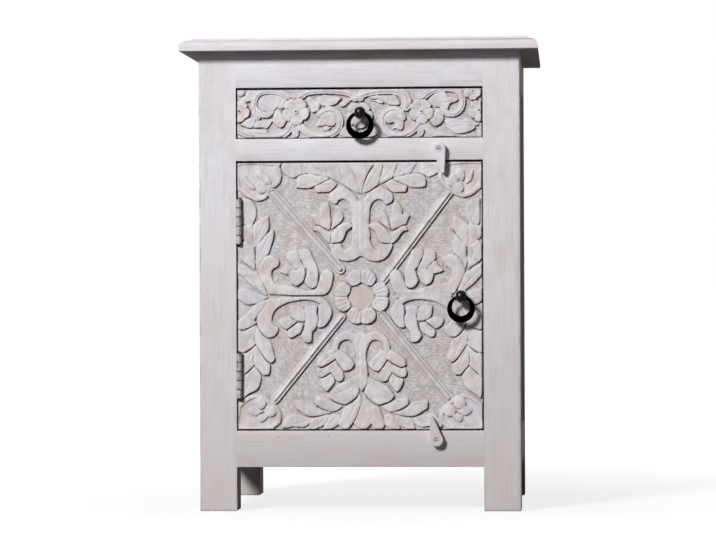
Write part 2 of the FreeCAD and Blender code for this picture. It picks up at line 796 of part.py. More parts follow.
def make_stud(owner, x, height, back_face):
    """A turned stud with a ball head, and a flared hole through the ball for the ring."""
    body = doc.addObject("PartDesign::Body", f"{owner}_pull_stud")
    shank_end = f"{back_face} - pull_axis_y + pull_shank_tail"
    neck_start = "sqrt(pull_ball_radius * pull_ball_radius - pull_neck_radius * pull_neck_radius)"
    flange_front = "pull_standoff - pull_flange_thickness"
    profile = [("0", "-pull_ball_radius", "pull_ball_radius"), ("pull_neck_radius", neck_start),
               ("pull_neck_radius", flange_front), ("pull_flange_radius", flange_front),
               ("pull_flange_radius", "pull_standoff"), ("pull_shank_radius", "pull_standoff"),
               ("pull_shank_radius", shank_end), ("0", shank_end)]
    turning = sketch_on(body, "profile", "XY_Plane", profile)
    turned = body.newObject("PartDesign::Revolution", "turned")
    turned.Profile = turning
    turned.ReferenceAxis = (turning, ["V_Axis"])
    turned.Angle = 360
    doc.recompute()
    mouth = "pull_ball_radius + 1"
    mouth_radius = "ring_hole_radius + ring_hole_flare"
    flare = [(f"-({mouth})", "0"), (mouth, "0"), (mouth, mouth_radius),
             ("pull_hole_waist", "ring_hole_radius"), ("-pull_hole_waist", "ring_hole_radius"),
             (f"-({mouth})", mouth_radius)]
    drilling = sketch_on(body, "flare", "XY_Plane", flare)
    hole = body.newObject("PartDesign::Groove", "ring_hole")
    hole.Profile = drilling
    hole.ReferenceAxis = (drilling, ["H_Axis"])
    hole.Angle = 360
    doc.recompute()
    place(body, x, "pull_axis_y", height)
    keep(body)


def make_ring(owner, x, height):
    """A ring that thickens from the top, where it hangs in the stud, to the bottom."""
    sections = []
    for step in range(RING_SECTIONS):
        turn = 360 * step / RING_SECTIONS
        sine = round(math.sin(math.radians(turn)), 6)
        cosine = round(math.cos(math.radians(turn)), 6)
        radius = f"(ring_top_radius + (ring_bottom_radius - ring_top_radius) * {(1 - cosine) / 2})"
        section = doc.addObject("Part::Circle", "section")
        section.Placement.Rotation = FreeCAD.Rotation(FreeCAD.Vector(0, 1, 0), 90 + turn)
        bind(section, Radius=radius)
        place(section, f"{x} + (ring_outer_radius - {radius}) * {sine}", "pull_axis_y",
              f"{height} - ring_line_radius + (ring_outer_radius - {radius}) * {cosine}")
        sections.append(section)
    ring = doc.addObject("Part::Loft", f"{owner}_ring")
    ring.Sections = sections
    ring.Solid = True
    ring.Closed = True
    keep(ring)


def make_washer_and_nut(owner, x, height, back_face):
    bore = rod("bore", "+y", x, back_face, height, "pull_shank_radius + pull_shank_gap",
               "washer_thickness + nut_thickness")
    disc = rod("disc", "+y", x, back_face, height, "washer_radius", "washer_thickness")
    keep(cut(f"{owner}_pull_washer", disc, [bore]))
    hexagon = doc.addObject("Part::Prism", "hexagon")
    hexagon.Polygon = 6
    hexagon.Placement.Rotation = TURNS["+y"]
    bind(hexagon, Circumradius="nut_radius", Height="nut_thickness")
    place(hexagon, x, f"{back_face} + washer_thickness", height)
    keep(cut(f"{owner}_pull_nut", hexagon, [bore]))


def make_pull(owner, x, height, back_face):
    make_stud(owner, x, height, back_face)
    make_washer_and_nut(owner, x, height, back_face)
    make_ring(owner, x, height)


# Turn-buttons

def make_button(which):
    """A paddle with a round head about its screw and a narrow round tip."""
    body = doc.addObject("PartDesign::Body", f"{which}_paddle")
    head_x = "button_head_radius * button_side"
    head_y = "-button_head_radius * button_slope"
    tip_x = "button_tip_radius * button_side"
    tip_y = "-button_reach - button_tip_radius * button_slope"
    outline = [(head_x, head_y, "button_head_radius"), ("0", "button_head_radius", "button_head_radius"),
               (f"-{head_x}", head_y), (f"-{tip_x}", tip_y, "button_tip_radius"),
               ("0", "-button_reach - button_tip_radius", "button_tip_radius"), (tip_x, tip_y)]
    paddle = pad(body, "paddle", sketch_on(body, "outline", "XZ_Plane", outline), "button_thickness")
    front = -number("button_thickness")
    rim = edges_where(paddle, lambda point: abs(point.y - front) < 0.01)
    fillet(body, "rounded_front", paddle, rim, "button_round")
    body.Placement.Rotation = FreeCAD.Rotation(FreeCAD.Vector(0, 1, 0), number(f"{which}_button_lean"))
    bind(body, **{"Placement.Rotation.Angle": f"{which}_button_lean"})
    place(body, f"{which}_button_offset", "button_back", f"{which}_button_height")
    keep(cut(f"{which}_turn_button", body, drill([button_spot(which)])))


def make_button_screw(which):
    """The button's screw, with a cross slot in its head."""
    spot = button_spot(which)
    slots = []
    for wide, tall in (("screw_slot_length", "screw_slot_width"), ("screw_slot_width", "screw_slot_length")):
        slots.append(box("slot", Block(f"{spot.x} - {wide} / 2", f"{spot.x} + {wide} / 2", spot.y,
                                       f"{spot.y} + screw_slot_depth", f"{spot.z} - {tall} / 2",
                                       f"{spot.z} + {tall} / 2")))
    keep(cut(f"{which}_button_screw", screw("screw", spot), slots))


make_top_board()
make_legs()
make_rails()
make_panels()
make_floor()
make_cleats()
make_runners()
make_door_stop()
make_drawer()
make_pull("drawer", "drawer_pull_offset", "drawer_pull_height", "drawer_back_face")
make_door()
make_hinges()
make_pull("door", "door_pull_x", "door_pull_height", "door_back_face")
for which in ("upper", "lower"):
    make_button(which)
    make_button_screw(which)
doc.recompute()

# Every object must be sound before anything is written
for item in doc.Objects:
    if "Invalid" in item.State or "Error" in item.State:
        raise RuntimeError(f"{item.Label} did not build: {item.State}")
for piece in subparts:
    if piece.Shape.isNull() or not piece.Shape.isValid():
        raise RuntimeError(f"{piece.Label} has no sound shape")
for piece in subparts:
    piece.Shape.exportStep(f"parts/{piece.Label}.step")
print(len(subparts), "sub-parts written")
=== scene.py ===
import math
from collections import namedtuple

import bmesh
import bpy
import numpy
from mathutils import Matrix, Quaternion, Vector


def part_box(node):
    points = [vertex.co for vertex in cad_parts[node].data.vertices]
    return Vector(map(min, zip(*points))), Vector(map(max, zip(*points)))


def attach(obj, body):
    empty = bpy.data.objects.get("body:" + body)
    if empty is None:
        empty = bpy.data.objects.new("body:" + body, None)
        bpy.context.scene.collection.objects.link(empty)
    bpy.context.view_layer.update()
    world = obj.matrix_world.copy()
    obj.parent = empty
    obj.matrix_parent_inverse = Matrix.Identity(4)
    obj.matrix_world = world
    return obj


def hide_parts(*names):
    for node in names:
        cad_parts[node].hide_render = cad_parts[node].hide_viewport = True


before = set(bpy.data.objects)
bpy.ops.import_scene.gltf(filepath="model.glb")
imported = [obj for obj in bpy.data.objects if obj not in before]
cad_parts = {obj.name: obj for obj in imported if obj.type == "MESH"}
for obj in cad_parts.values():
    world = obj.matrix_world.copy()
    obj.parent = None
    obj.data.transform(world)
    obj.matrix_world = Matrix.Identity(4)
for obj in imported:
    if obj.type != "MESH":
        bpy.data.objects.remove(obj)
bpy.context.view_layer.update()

MM = 0.001


# Node helpers

def paint(red, green, blue):
    """An sRGB colour in steps of 255, as the linear colour that a shader takes."""
    def linear(step):
        share = step / 255
        if share <= 0.04045:
            return share / 12.92
        return ((share + 0.055) / 1.055) ** 2.4
    return (linear(red), linear(green), linear(blue), 1)


def join(tree, value, socket):
    """Sets a socket to a value, or links it to another socket."""
    if isinstance(value, bpy.types.NodeSocket):
        tree.links.new(value, socket)
    else:
        socket.default_value = value


def fill(tree, node, inputs):
    """Sets or links several inputs of a node."""
    for name, value in inputs.items():
        join(tree, value, node.inputs[name])


def add(tree, kind, inputs, **settings):
    node = tree.nodes.new(kind)
    for name, value in settings.items():
        setattr(node, name, value)
    fill(tree, node, inputs)
    return node


def mix(tree, share, first, second):
    """A share of the second colour over the first."""
    return add(tree, "ShaderNodeMix", {0: share, 6: first, 7: second}, data_type="RGBA").outputs[2]


def ranged(tree, value, low, high, start=0.0, end=1.0):
    """The value moved from one range into another, and held at its ends."""
    node = add(tree, "ShaderNodeMapRange", {"Value": value, "From Min": low, "From Max": high,
                                            "To Min": start, "To Max": end})
    return node.outputs["Result"]


def math_of(tree, operation, first, second):
    return add(tree, "ShaderNodeMath", {0: first, 1: second}, operation=operation).outputs[0]


def vector_of(tree, operation, output, *values):
    return add(tree, "ShaderNodeVectorMath", dict(enumerate(values)), operation=operation).outputs[output]


def object_coords(tree):
    return add(tree, "ShaderNodeTexCoord", {}).outputs["Object"]


def place_on(tree, axis):
    """How far along X, Y or Z a point of the piece lies."""
    return add(tree, "ShaderNodeSeparateXYZ", {"Vector": object_coords(tree)}).outputs[axis]


def waves(along, across_count, along_count):
    """Waves to the metre on the three axes, few of them along the grain and many across it."""
    return tuple(along_count if axis == along else across_count for axis in "xyz")


def noise_of(tree, counts, detail=3.0, rough=0.6, place=(0, 0, 0), turn=0.0):
    """Noise with its waves to the metre on the three axes, which may be turned about the Y axis."""
    turned = add(tree, "ShaderNodeVectorRotate", {"Vector": object_coords(tree), "Angle": turn},
                 rotation_type="Y_AXIS")
    mapping = add(tree, "ShaderNodeMapping", {"Vector": turned.outputs["Vector"], "Scale": counts,
                                              "Location": place})
    texture = add(tree, "ShaderNodeTexNoise", {"Vector": mapping.outputs["Vector"], "Scale": 1.0,
                                               "Detail": detail, "Roughness": rough})
    return texture.outputs["Fac"]


def attribute(tree, name):
    return add(tree, "ShaderNodeAttribute", {}, attribute_name=name).outputs["Fac"]


def bumped(tree, height, depth, strength, below=None):
    """A bump of the given depth in metres, on top of another one if there is one."""
    inputs = {"Height": height, "Distance": depth, "Strength": strength}
    if below is not None:
        inputs["Normal"] = below
    return add(tree, "ShaderNodeBump", inputs).outputs["Normal"]


def new_material(name):
    material = bpy.data.materials.new(name)
    material.use_nodes = True
    return material, material.node_tree, material.node_tree.nodes["Principled BSDF"]


# Finishes

# The front face and the underside of the top in metres, and the depth of the carving in millimetres
FRONT = -0.168
UNDER_TOP = 0.584
RELIEF = 4.3

COOL_WHITE = paint(226, 225, 232)
WARM_WHITE = paint(222, 218, 220)
LOW_DOWN_WHITE = paint(200, 190, 189)
BARE_BEIGE = paint(203, 188, 180)
BLUE_GREY = paint(203, 203, 211)
GRAIN_GREY = paint(172, 166, 166)
# Brown of worn edges, and of the painted shadow under the top
WORN_AND_SHADE_BROWN = paint(122, 98, 82)
CARVED_WHITE = paint(222, 217, 219)
CARVED_GREY = paint(186, 180, 181)
CARVED_BEIGE = paint(206, 188, 180)
CARVED_BLUE = paint(208, 210, 219)
GROUND_GREY = paint(140, 131, 128)
RUBBED_TAN = paint(202, 182, 168)
# Grey of the painted shade between carved forms
PAINTED_SHADE_GREY = paint(136, 122, 114)
# Brown for painted shade and stain in the carving's creases and walls, for painted shade on screw heads, and
# for dirt at the hinge knuckles
DIRT_AND_SHADE_BROWN = paint(56, 40, 31)
# The way that the walls in painted shade face: down and to the right, away from the key light
SHADED_SIDE = (0.65, 0.0, -0.76)


def washed_colour(tree, along):
    """White wash over wood: cool and warm clouds, rubbed patches, thin grain lines, darker and warmer towards
    the bottom, and painted shadow in a brown band just under the top, where the top's overhang shades the
    boards."""
    cloud = noise_of(tree, waves(along, 14, 6), 3)
    rubbed = noise_of(tree, waves(along, 75, 16), 4, place=(3, 1, 2))
    bluish = noise_of(tree, (38, 38, 38), 4, place=(7, 2, 6))
    lines = noise_of(tree, waves(along, 430, 18), 4)
    height = place_on(tree, "Z")
    # Painted shadow: a brown band just under the top, where the overhang shades the boards
    painted_shadow_under_top = math_of(tree, "MULTIPLY", ranged(tree, height, UNDER_TOP - 11 * MM, UNDER_TOP, 0, 0.5),
                        ranged(tree, height, UNDER_TOP + 1 * MM, UNDER_TOP))
    colour = mix(tree, ranged(tree, cloud, 0.38, 0.62), COOL_WHITE, WARM_WHITE)
    # Darker and warmer towards the bottom
    colour = mix(tree, ranged(tree, height, 0.52, 0.0, 0, 0.75), colour, LOW_DOWN_WHITE)
    colour = mix(tree, ranged(tree, height, UNDER_TOP, UNDER_TOP + 1 * MM, 0, 0.2), colour, BARE_BEIGE)
    colour = mix(tree, painted_shadow_under_top, colour, WORN_AND_SHADE_BROWN)
    colour = mix(tree, ranged(tree, rubbed, 0.5, 0.72, 0, 0.45), colour, BARE_BEIGE)
    colour = mix(tree, ranged(tree, bluish, 0.52, 0.7, 0, 0.5), colour, BLUE_GREY)
    colour = mix(tree, ranged(tree, lines, 0.52, 0.78, 0, 0.38), colour, GRAIN_GREY)
    return colour, lines, rubbed


def washed_wood(name, along):
    """Whitewashed boards, with the grain along one axis and the wash worn off their edges."""
    material, tree, shader = new_material(name)
    colour, lines, rubbed = washed_colour(tree, along)
    chipped = noise_of(tree, waves(along, 160, 40), 4)
    edge = math_of(tree, "POWER", attribute(tree, "edge"), 4.0)
    worn = math_of(tree, "MULTIPLY", edge, ranged(tree, chipped, 0.48, 0.72, 0, 0.55))
    colour = mix(tree, worn, colour, WORN_AND_SHADE_BROWN)
    fill(tree, shader, {"Base Color": colour, "Roughness": ranged(tree, rubbed, 0.3, 0.7, 0.72, 0.52),
                        "Normal": bumped(tree, lines, 0.0004, 0.5), "Specular IOR Level": 0.3})
    return material


def carved_wood(name, along, painted_shade_between_share, rubbed_at=None):
    """Whitewash over carving, with fine tool marks on the ground. Painted shade: grey between the forms and
    at their roots, and brown on the steep walls, darkest on those facing down and to the right, away from the
    key light.
    Brown in the narrow creases is painted shade and stain, and brown along the board's border is wear and
    painted shadow of the gap around it. One round spot may be rubbed. Behind the carving the board is washed
    like the others."""
    material, tree, shader = new_material(name)
    depth = place_on(tree, "Y")
    carved = ranged(tree, depth, FRONT + (RELIEF + 0.5) * MM, FRONT + RELIEF * MM)
    low_down = ranged(tree, depth, FRONT + (RELIEF - 1.1) * MM, FRONT + (RELIEF - 0.4) * MM)
    # Painted shade and brown stain in narrow creases, where occlusion within 2.5 mm is high
    crease_stain_and_shade = add(tree, "ShaderNodeAmbientOcclusion", {"Distance": 0.0025}, samples=8, only_local=True)
    # Painted shade: grey between the forms and at their roots, where occlusion within 16 mm is high
    between = add(tree, "ShaderNodeAmbientOcclusion", {"Distance": 0.016}, samples=8, only_local=True)
    normal = add(tree, "ShaderNodeTexCoord", {}).outputs["Normal"]
    # Painted shade: how far a wall faces down and to the right, away from the key light
    behind = vector_of(tree, "DOT_PRODUCT", "Value", normal, SHADED_SIDE)
    forward = add(tree, "ShaderNodeSeparateXYZ", {"Vector": normal}).outputs["Y"]
    ground = math_of(tree, "MULTIPLY", low_down, ranged(tree, forward, -0.1, -0.5))
    blotch = noise_of(tree, (30, 30, 30), 4, place=(5, 5, 5))
    thin = noise_of(tree, (80, 80, 80), 4, place=(1, 4, 2))
    lines = noise_of(tree, waves(along, 320, 25), 3)
    cool = noise_of(tree, (34, 34, 34), 3, place=(8, 3, 7))
    level = noise_of(tree, (190, 300, 720), 2, 0.5, turn=0.12)
    slanted = noise_of(tree, (190, 300, 720), 2, 0.5, turn=-0.8)
    hatch = mix(tree, ranged(tree, noise_of(tree, (10, 10, 10), 1), 0.48, 0.52), level, slanted)
    stippled = math_of(tree, "MULTIPLY", ground, ranged(tree, hatch, 0.4, 0.6, 0.45, 0.0))
    # Brown on every steep wall, and painted shade nearly full brown on walls facing away from the key light
    walls = math_of(tree, "MAXIMUM", ranged(tree, behind, 0.3, 0.65, 0, 0.92),
                    ranged(tree, forward, -0.55, -0.2, 0, 0.5))
    bare = math_of(tree, "MAXIMUM", walls, ranged(tree, crease_stain_and_shade.outputs["AO"], 0.62, 0.25, 0, 0.8))
    # Brown along the board's border and its sides: wear, and painted shadow of the gap around the board
    bare = math_of(tree, "MAXIMUM", bare, math_of(tree, "MULTIPLY", attribute(tree, "edge"), 0.9))
    colour = mix(tree, ranged(tree, thin, 0.42, 0.68, 0, 0.8), CARVED_WHITE, CARVED_GREY)
    colour = mix(tree, ranged(tree, blotch, 0.48, 0.7, 0, 0.75), colour, CARVED_BEIGE)
    colour = mix(tree, ranged(tree, cool, 0.5, 0.66, 0, 0.65), colour, CARVED_BLUE)
    colour = mix(tree, ranged(tree, lines, 0.5, 0.75, 0, 0.4), colour, GRAIN_GREY)
    colour = mix(tree, stippled, colour, GROUND_GREY)
    if rubbed_at:
        away = vector_of(tree, "DISTANCE", "Value", object_coords(tree), rubbed_at)
        colour = mix(tree, ranged(tree, away, 17 * MM, 13 * MM, 0, 0.55), colour, RUBBED_TAN)
    colour = mix(tree, ranged(tree, between.outputs["AO"], 0.9, 0.4, 0, painted_shade_between_share), colour, PAINTED_SHADE_GREY)
    colour = mix(tree, bare, colour, DIRT_AND_SHADE_BROWN)
    colour = mix(tree, carved, washed_colour(tree, along)[0], colour)
    marks = bumped(tree, math_of(tree, "MULTIPLY", hatch, ground), 0.0008, 0.6)
    fill(tree, shader, {"Base Color": colour, "Roughness": ranged(tree, blotch, 0.3, 0.7, 0.75, 0.55),
                        "Normal": bumped(tree, lines, 0.0003, 0.4, marks), "Specular IOR Level": 0.3})
    return material


def bare_wood(name, along):
    """Plain sanded wood of the parts inside."""
    material, tree, shader = new_material(name)
    rings = noise_of(tree, waves(along, 90, 4), 5, 0.65)
    pores = noise_of(tree, waves(along, 900, 26), 3)
    colour = mix(tree, ranged(tree, rings, 0.35, 0.68), paint(196, 168, 134), paint(154, 120, 88))
    colour = mix(tree, ranged(tree, pores, 0.56, 0.75, 0, 0.6), colour, paint(104, 78, 56))
    fill(tree, shader, {"Base Color": colour, "Roughness": ranged(tree, rings, 0.3, 0.7, 0.75, 0.6),
                        "Normal": bumped(tree, pores, 0.0003, 0.4), "Specular IOR Level": 0.3})
    return material


def black_iron():
    """Cast pulls, black, with brown rubbing and a grainy skin."""
    material, tree, shader = new_material("black_iron")
    rubbed = noise_of(tree, (260, 260, 260), 4)
    skin = noise_of(tree, (1500, 1500, 1500), 3)
    colour = mix(tree, ranged(tree, rubbed, 0.55, 0.75, 0, 0.7), paint(16, 16, 20), paint(52, 38, 32))
    lumps = bumped(tree, rubbed, 0.0008, 0.5)
    fill(tree, shader, {"Base Color": colour, "Roughness": ranged(tree, rubbed, 0.3, 0.7, 0.22, 0.36),
                        "Normal": bumped(tree, skin, 0.0003, 0.35, lumps), "Specular IOR Level": 0.4})
    return material


def washed_metal(which):
    """A steel hinge under a thin wash. Rust and bare metal show, and dirt lies between its knuckles."""
    material, tree, shader = new_material(f"washed_metal_{which}")
    low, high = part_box(f"{which}_hinge_pin")
    knuckles = 5
    pitch = (high.z - low.z) / knuckles
    knuckle = math_of(tree, "DIVIDE", math_of(tree, "SUBTRACT", place_on(tree, "Z"), low.z), pitch)
    dirt = ranged(tree, math_of(tree, "PINGPONG", knuckle, 0.5), 0.1, 0.03, 0, 0.85)
    thin = noise_of(tree, (300, 300, 120), 4)
    rust = noise_of(tree, (150, 150, 150), 3, place=(2, 2, 2))
    colour = mix(tree, ranged(tree, thin, 0.42, 0.62), paint(200, 197, 197), paint(146, 142, 140))
    colour = mix(tree, ranged(tree, rust, 0.55, 0.75, 0, 0.6), colour, paint(98, 78, 66))
    colour = mix(tree, dirt, colour, DIRT_AND_SHADE_BROWN)
    fill(tree, shader, {"Base Color": colour, "Roughness": ranged(tree, thin, 0.4, 0.65, 0.7, 0.4),
                        "Normal": bumped(tree, thin, 0.0003, 0.4), "Metallic": 0.2})
    return material


def washed_screw(node):
    """A screw head under the wash, with painted shade in its middle where its recess is, and a painted shadow
    along the upper left of its rim, cast by the edge of the hole it sits in.
    """
    material, tree, shader = new_material(f"washed_{node}")
    low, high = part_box(node)
    centre = (low + high) / 2
    # Painted shadow falls on this side of the rim, the upper left
    shaded_side = (-0.8, 0, 0.6)
    offset = vector_of(tree, "SUBTRACT", "Vector", object_coords(tree), (centre.x, 0, centre.z))
    flat = vector_of(tree, "MULTIPLY", "Vector", offset, (1, 0, 1))
    reach = vector_of(tree, "LENGTH", "Value", flat)
    side = vector_of(tree, "DOT_PRODUCT", "Value", flat, shaded_side)
    head = (high.x - low.x) / 2
    # Painted shade in the middle, where the recess in the head is
    middle = ranged(tree, reach, 0.9 * MM, 0.6 * MM)
    rim = math_of(tree, "MULTIPLY", ranged(tree, reach, 0.72 * head, 0.86 * head),
                  ranged(tree, side, 0, 0.5 * head))
    patchy = noise_of(tree, (600, 600, 600), 3)
    colour = mix(tree, ranged(tree, patchy, 0.4, 0.65), WARM_WHITE, GRAIN_GREY)
    colour = mix(tree, math_of(tree, "MAXIMUM", middle, rim), colour, DIRT_AND_SHADE_BROWN)
    fill(tree, shader, {"Base Color": colour, "Roughness": ranged(tree, patchy, 0.3, 0.7, 0.65, 0.45),
                        "Normal": bumped(tree, patchy, 0.0002, 0.4)})
    return material


def plain_steel():
    material, tree, shader = new_material("plain_steel")
    drawn = noise_of(tree, (700, 120, 700), 3)
    colour = mix(tree, ranged(tree, drawn, 0.35, 0.65), paint(176, 174, 170), paint(128, 124, 118))
    fill(tree, shader, {"Base Color": colour, "Roughness": ranged(tree, drawn, 0.3, 0.7, 0.28, 0.5),
                        "Normal": bumped(tree, drawn, 0.0001, 0.3), "Metallic": 1.0})
    return material


WASHED = {along: washed_wood(f"washed_wood_{along}", along) for along in "xyz"}
BARE = {along: bare_wood(f"bare_wood_{along}", along) for along in "xyz"}
CARVED_DRAWER = carved_wood("carved_wood_drawer", "x", 0.45)
CARVED_DOOR = carved_wood("carved_wood_door", "z", 0.75, (0.0025, FRONT, 0.2715))
IRON = black_iron()
STEEL = plain_steel()


# Pieces

def object_of(name, bm):
    """A new object in the scene, with the mesh."""
    mesh = bpy.data.meshes.new(name)
    bm.to_mesh(mesh)
    bm.free()
    made = bpy.data.objects.new(name, mesh)
    bpy.context.scene.collection.objects.link(made)
    return made


def finish_piece(name, bm, material, body, nodes, crease=40):
    """Makes an object of the mesh, which rides on a body and stands for the nodes that it replaces."""
    piece = object_of(name, bm)
    piece.data.materials.append(material)
    piece.data.shade_smooth()
    piece.data.set_sharp_from_angle(angle=math.radians(crease))
    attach(piece, body)
    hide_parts(*nodes)


def add_block(bm, low, high):
    """A box between two corners."""
    verts = bmesh.ops.create_cube(bm, size=1)["verts"]
    bmesh.ops.scale(bm, vec=high - low, verts=verts)
    bmesh.ops.translate(bm, vec=(low + high) / 2, verts=verts)


def round_edges(bm, edges, radius, segments):
    bmesh.ops.bevel(bm, geom=edges, offset=radius, offset_type="OFFSET", segments=segments, profile=0.5,
                    affect="EDGES", material=-1)


def mark_edges(bm, border, outside):
    """Marks where the wash wears off: along the foot and the outer side, over a border of each flat face."""
    bm.normal_update()
    layer = bm.verts.layers.float.new("edge")
    flat = [face for face in bm.faces
            if max(abs(part) for part in face.normal) > 0.999 and face.calc_area() > 16 * border * border]
    bmesh.ops.inset_individual(bm, faces=flat, thickness=border, depth=0)
    for vert in bm.verts:
        vert[layer] = abs(vert.co.x) > outside or vert.co.z < 2 * MM
    for face in flat:
        for vert in face.verts:
            vert[layer] = 0


def dent(bm, across, up, half):
    """A small sunk spot in the front of a board, brown inside, as over the head of a brad."""
    layer = bm.verts.layers.float["edge"]
    middle = Vector((across, FRONT, up))
    for direction in (Vector((1, 0, 0)), Vector((0, 0, 1))):
        for side in (-half, half):
            bmesh.ops.bisect_plane(bm, geom=bm.verts[:] + bm.edges[:] + bm.faces[:],
                                   plane_co=middle + side * direction, plane_no=direction)
    bm.normal_update()
    front = [face for face in bm.faces if face.normal.y < -0.99]
    spot = min(front, key=lambda face: (face.calc_center_median() - middle).length)
    bmesh.ops.inset_individual(bm, faces=[spot], thickness=0.4 * half, depth=-0.7 * MM)
    for vert in spot.verts:
        vert[layer] = 1


def make_rail(node, low, high, along, dents=()):
    """A rail with its long edges softened. Its ends meet the legs flush."""
    bm = bmesh.new()
    add_block(bm, low, high)
    direction = "xyz".index(along)
    long_edges = [edge for edge in bm.edges
                  if abs(edge.verts[0].co[direction] - edge.verts[1].co[direction]) > 10 * MM]
    round_edges(bm, long_edges, radius=0.5 * MM, segments=2)
    bm.verts.layers.float.new("edge")
    for across, up in dents:
        dent(bm, across, up, half=1.2 * MM)
    finish_piece(f"washed_{node}", bm, WASHED[along], "carcass", [node])


def make_leg(node):
    """A leg, rounded and worn along its outer corner and its foot."""
    low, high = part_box(node)
    corner = 1.5 * MM
    outside = max(abs(low.x), abs(high.x)) - corner
    end = max(abs(low.y), abs(high.y)) - corner
    bm = bmesh.new()
    add_block(bm, low, high)
    soft = []
    for edge in bm.edges:
        on_corner = all(abs(vert.co.x) > outside and abs(vert.co.y) > end for vert in edge.verts)
        on_foot = all(vert.co.z < low.z + MM for vert in edge.verts)
        if on_corner or on_foot:
            soft.append(edge)
    round_edges(bm, soft, radius=1.2 * MM, segments=3)
    mark_edges(bm, border=6 * MM, outside=outside)
    finish_piece(f"washed_{node}", bm, WASHED["z"], "carcass", [node])


def make_top():
    """The top board: a rounded edge on three sides, then a small step up to the flat of the top."""
    low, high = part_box("top_board")
    step = 2.5 * MM
    land = 4 * MM
    margin = 13 * MM
    bm = bmesh.new()
    add_block(bm, low, Vector((high.x, high.y, high.z - step)))
    rim = [edge for edge in bm.edges if all(vert.co.z > low.z + land for vert in edge.verts)
           and not all(vert.co.y > high.y - MM for vert in edge.verts)]
    round_edges(bm, rim, radius=high.z - step - land - low.z, segments=8)
    field_low = Vector((low.x + margin, low.y + margin, low.z + land))
    add_block(bm, field_low, Vector((high.x - margin, high.y - 0.2 * MM, high.z)))
    on_top = [edge for edge in bm.edges if all(vert.co.z > high.z - 0.1 * MM for vert in edge.verts)]
    round_edges(bm, on_top, radius=0.9 * MM, segments=2)
    finish_piece("washed_top", bm, WASHED["x"], "carcass", ["top_board"])


# Where the brads that hold the floor go through the bottom rail, across and up
BRADS = [(-0.104, 0.094), (-0.040, 0.094), (0.024, 0.094)]


def make_frame():
    """Legs and rails with softened edges."""
    for end in ("front", "back"):
        for side in ("left", "right"):
            make_leg(f"{end}_{side}_leg")
    left_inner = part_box("front_left_leg")[1].x
    right_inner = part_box("front_right_leg")[0].x
    across_rails = ("front_top_rail", "front_middle_rail", "front_bottom_rail", "back_top_rail",
                    "back_bottom_rail")
    for node in across_rails:
        low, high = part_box(node)
        low.x, high.x = left_inner, right_inner
        make_rail(node, low, high, "x", BRADS if node == "front_bottom_rail" else ())
    front_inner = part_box("front_left_leg")[1].y
    back_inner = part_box("back_left_leg")[0].y
    for side in ("left", "right"):
        for level in ("top", "bottom"):
            node = f"{side}_side_{level}_rail"
            low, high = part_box(node)
            low.y, high.y = front_inner, back_inner
            make_rail(node, low, high, "y")


def make_ring(node):
    """A cast ring that swells towards its lowest point, where it is thickest. Its outside is round. A section
    of radius 1 is spun far out, and the ring is then drawn in to its true size."""
    low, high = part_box(node)
    centre = (low + high) / 2
    outer = (high.x - low.x) / 2
    half_depth = (high.y - low.y) / 2
    thinnest = 1.9 * MM
    swelling = 2.4 * MM
    far_out = 10
    bm = bmesh.new()
    section = bmesh.ops.create_circle(bm, cap_ends=False, segments=20, radius=1)["verts"]
    bmesh.ops.rotate(bm, cent=(0, 0, 0), matrix=Matrix.Rotation(math.radians(90), 3, "X"), verts=section)
    bmesh.ops.translate(bm, vec=(far_out, 0, 0), verts=section)
    bmesh.ops.spin(bm, geom=bm.edges[:], cent=(0, 0, 0), axis=(0, 1, 0), dvec=(0, 0, 0), angle=2 * math.pi,
                   steps=64, use_merge=True)
    for vert in bm.verts:
        reach = math.hypot(vert.co.x, vert.co.z)
        low_down = 0.5 - 0.5 * vert.co.z / reach
        half_width = thinnest + swelling * low_down ** 0.9
        swollen = (0.55 + 0.44 * low_down) * half_depth
        stretch = (outer - half_width + (reach - far_out) * half_width) / reach
        vert.co = centre + Vector((vert.co.x * stretch, vert.co.y * swollen, vert.co.z * stretch))
    bmesh.ops.recalc_face_normals(bm, faces=bm.faces[:])
    finish_piece(f"cast_{node}", bm, IRON, node, [node])


# Carving

# A panel's corners, ground and notches are in metres. In the carving on it, places are millimetres across and
# up from its middle, and heights above the ground are in steps
Panel = namedtuple("Panel", "low high ground notches")

# The millimetres in a step of height, the pitch of the grid, half the width of a steep wall, and how far in
# and by what share of its height the top of a form is rounded down to its edge
STEP = 0.7
CELL = 0.65
WALL = 0.5
SHOULDER = 3.5
CROWN = 0.2
# Where a groove runs along a band or rib, as a share of the way from its middle to its edge
GROOVE_AT = 0.52


class Relief:
    """The heights of a carved panel on a fine grid of points."""

    def __init__(self, panel):
        width, _, height = (panel.high - panel.low) / MM
        middle = (panel.low + panel.high) / 2
        self.across = numpy.linspace(-width / 2, width / 2, round(width / CELL) + 1)
        self.up = numpy.linspace(-height / 2, height / 2, round(height / CELL) + 1)
        self.heights = numpy.zeros((len(self.up), len(self.across)))
        for low, high in panel.notches:
            self.put_line_at(self.across, (high.x - middle.x) / MM)
            self.put_line_at(self.up, (low.z - middle.z) / MM)
            self.put_line_at(self.up, (high.z - middle.z) / MM)

    def put_line_at(self, lines, place):
        """Moves the nearest line of the grid onto the edge of a notch."""
        lines[numpy.abs(lines - place).argmin()] = place

    def window(self, points, margin):
        """The part of the grid around some points, and where the points of that part lie."""
        low, high = points.min(0) - margin, points.max(0) + margin
        columns = slice(*numpy.searchsorted(self.across, (low[0], high[0])))
        rows = slice(*numpy.searchsorted(self.up, (low[1], high[1])))
        across, up = numpy.meshgrid(self.across[columns], self.up[rows])
        return (rows, columns), across, up

    def raise_to(self, part, heights):
        self.heights[part] = numpy.maximum(self.heights[part], heights)


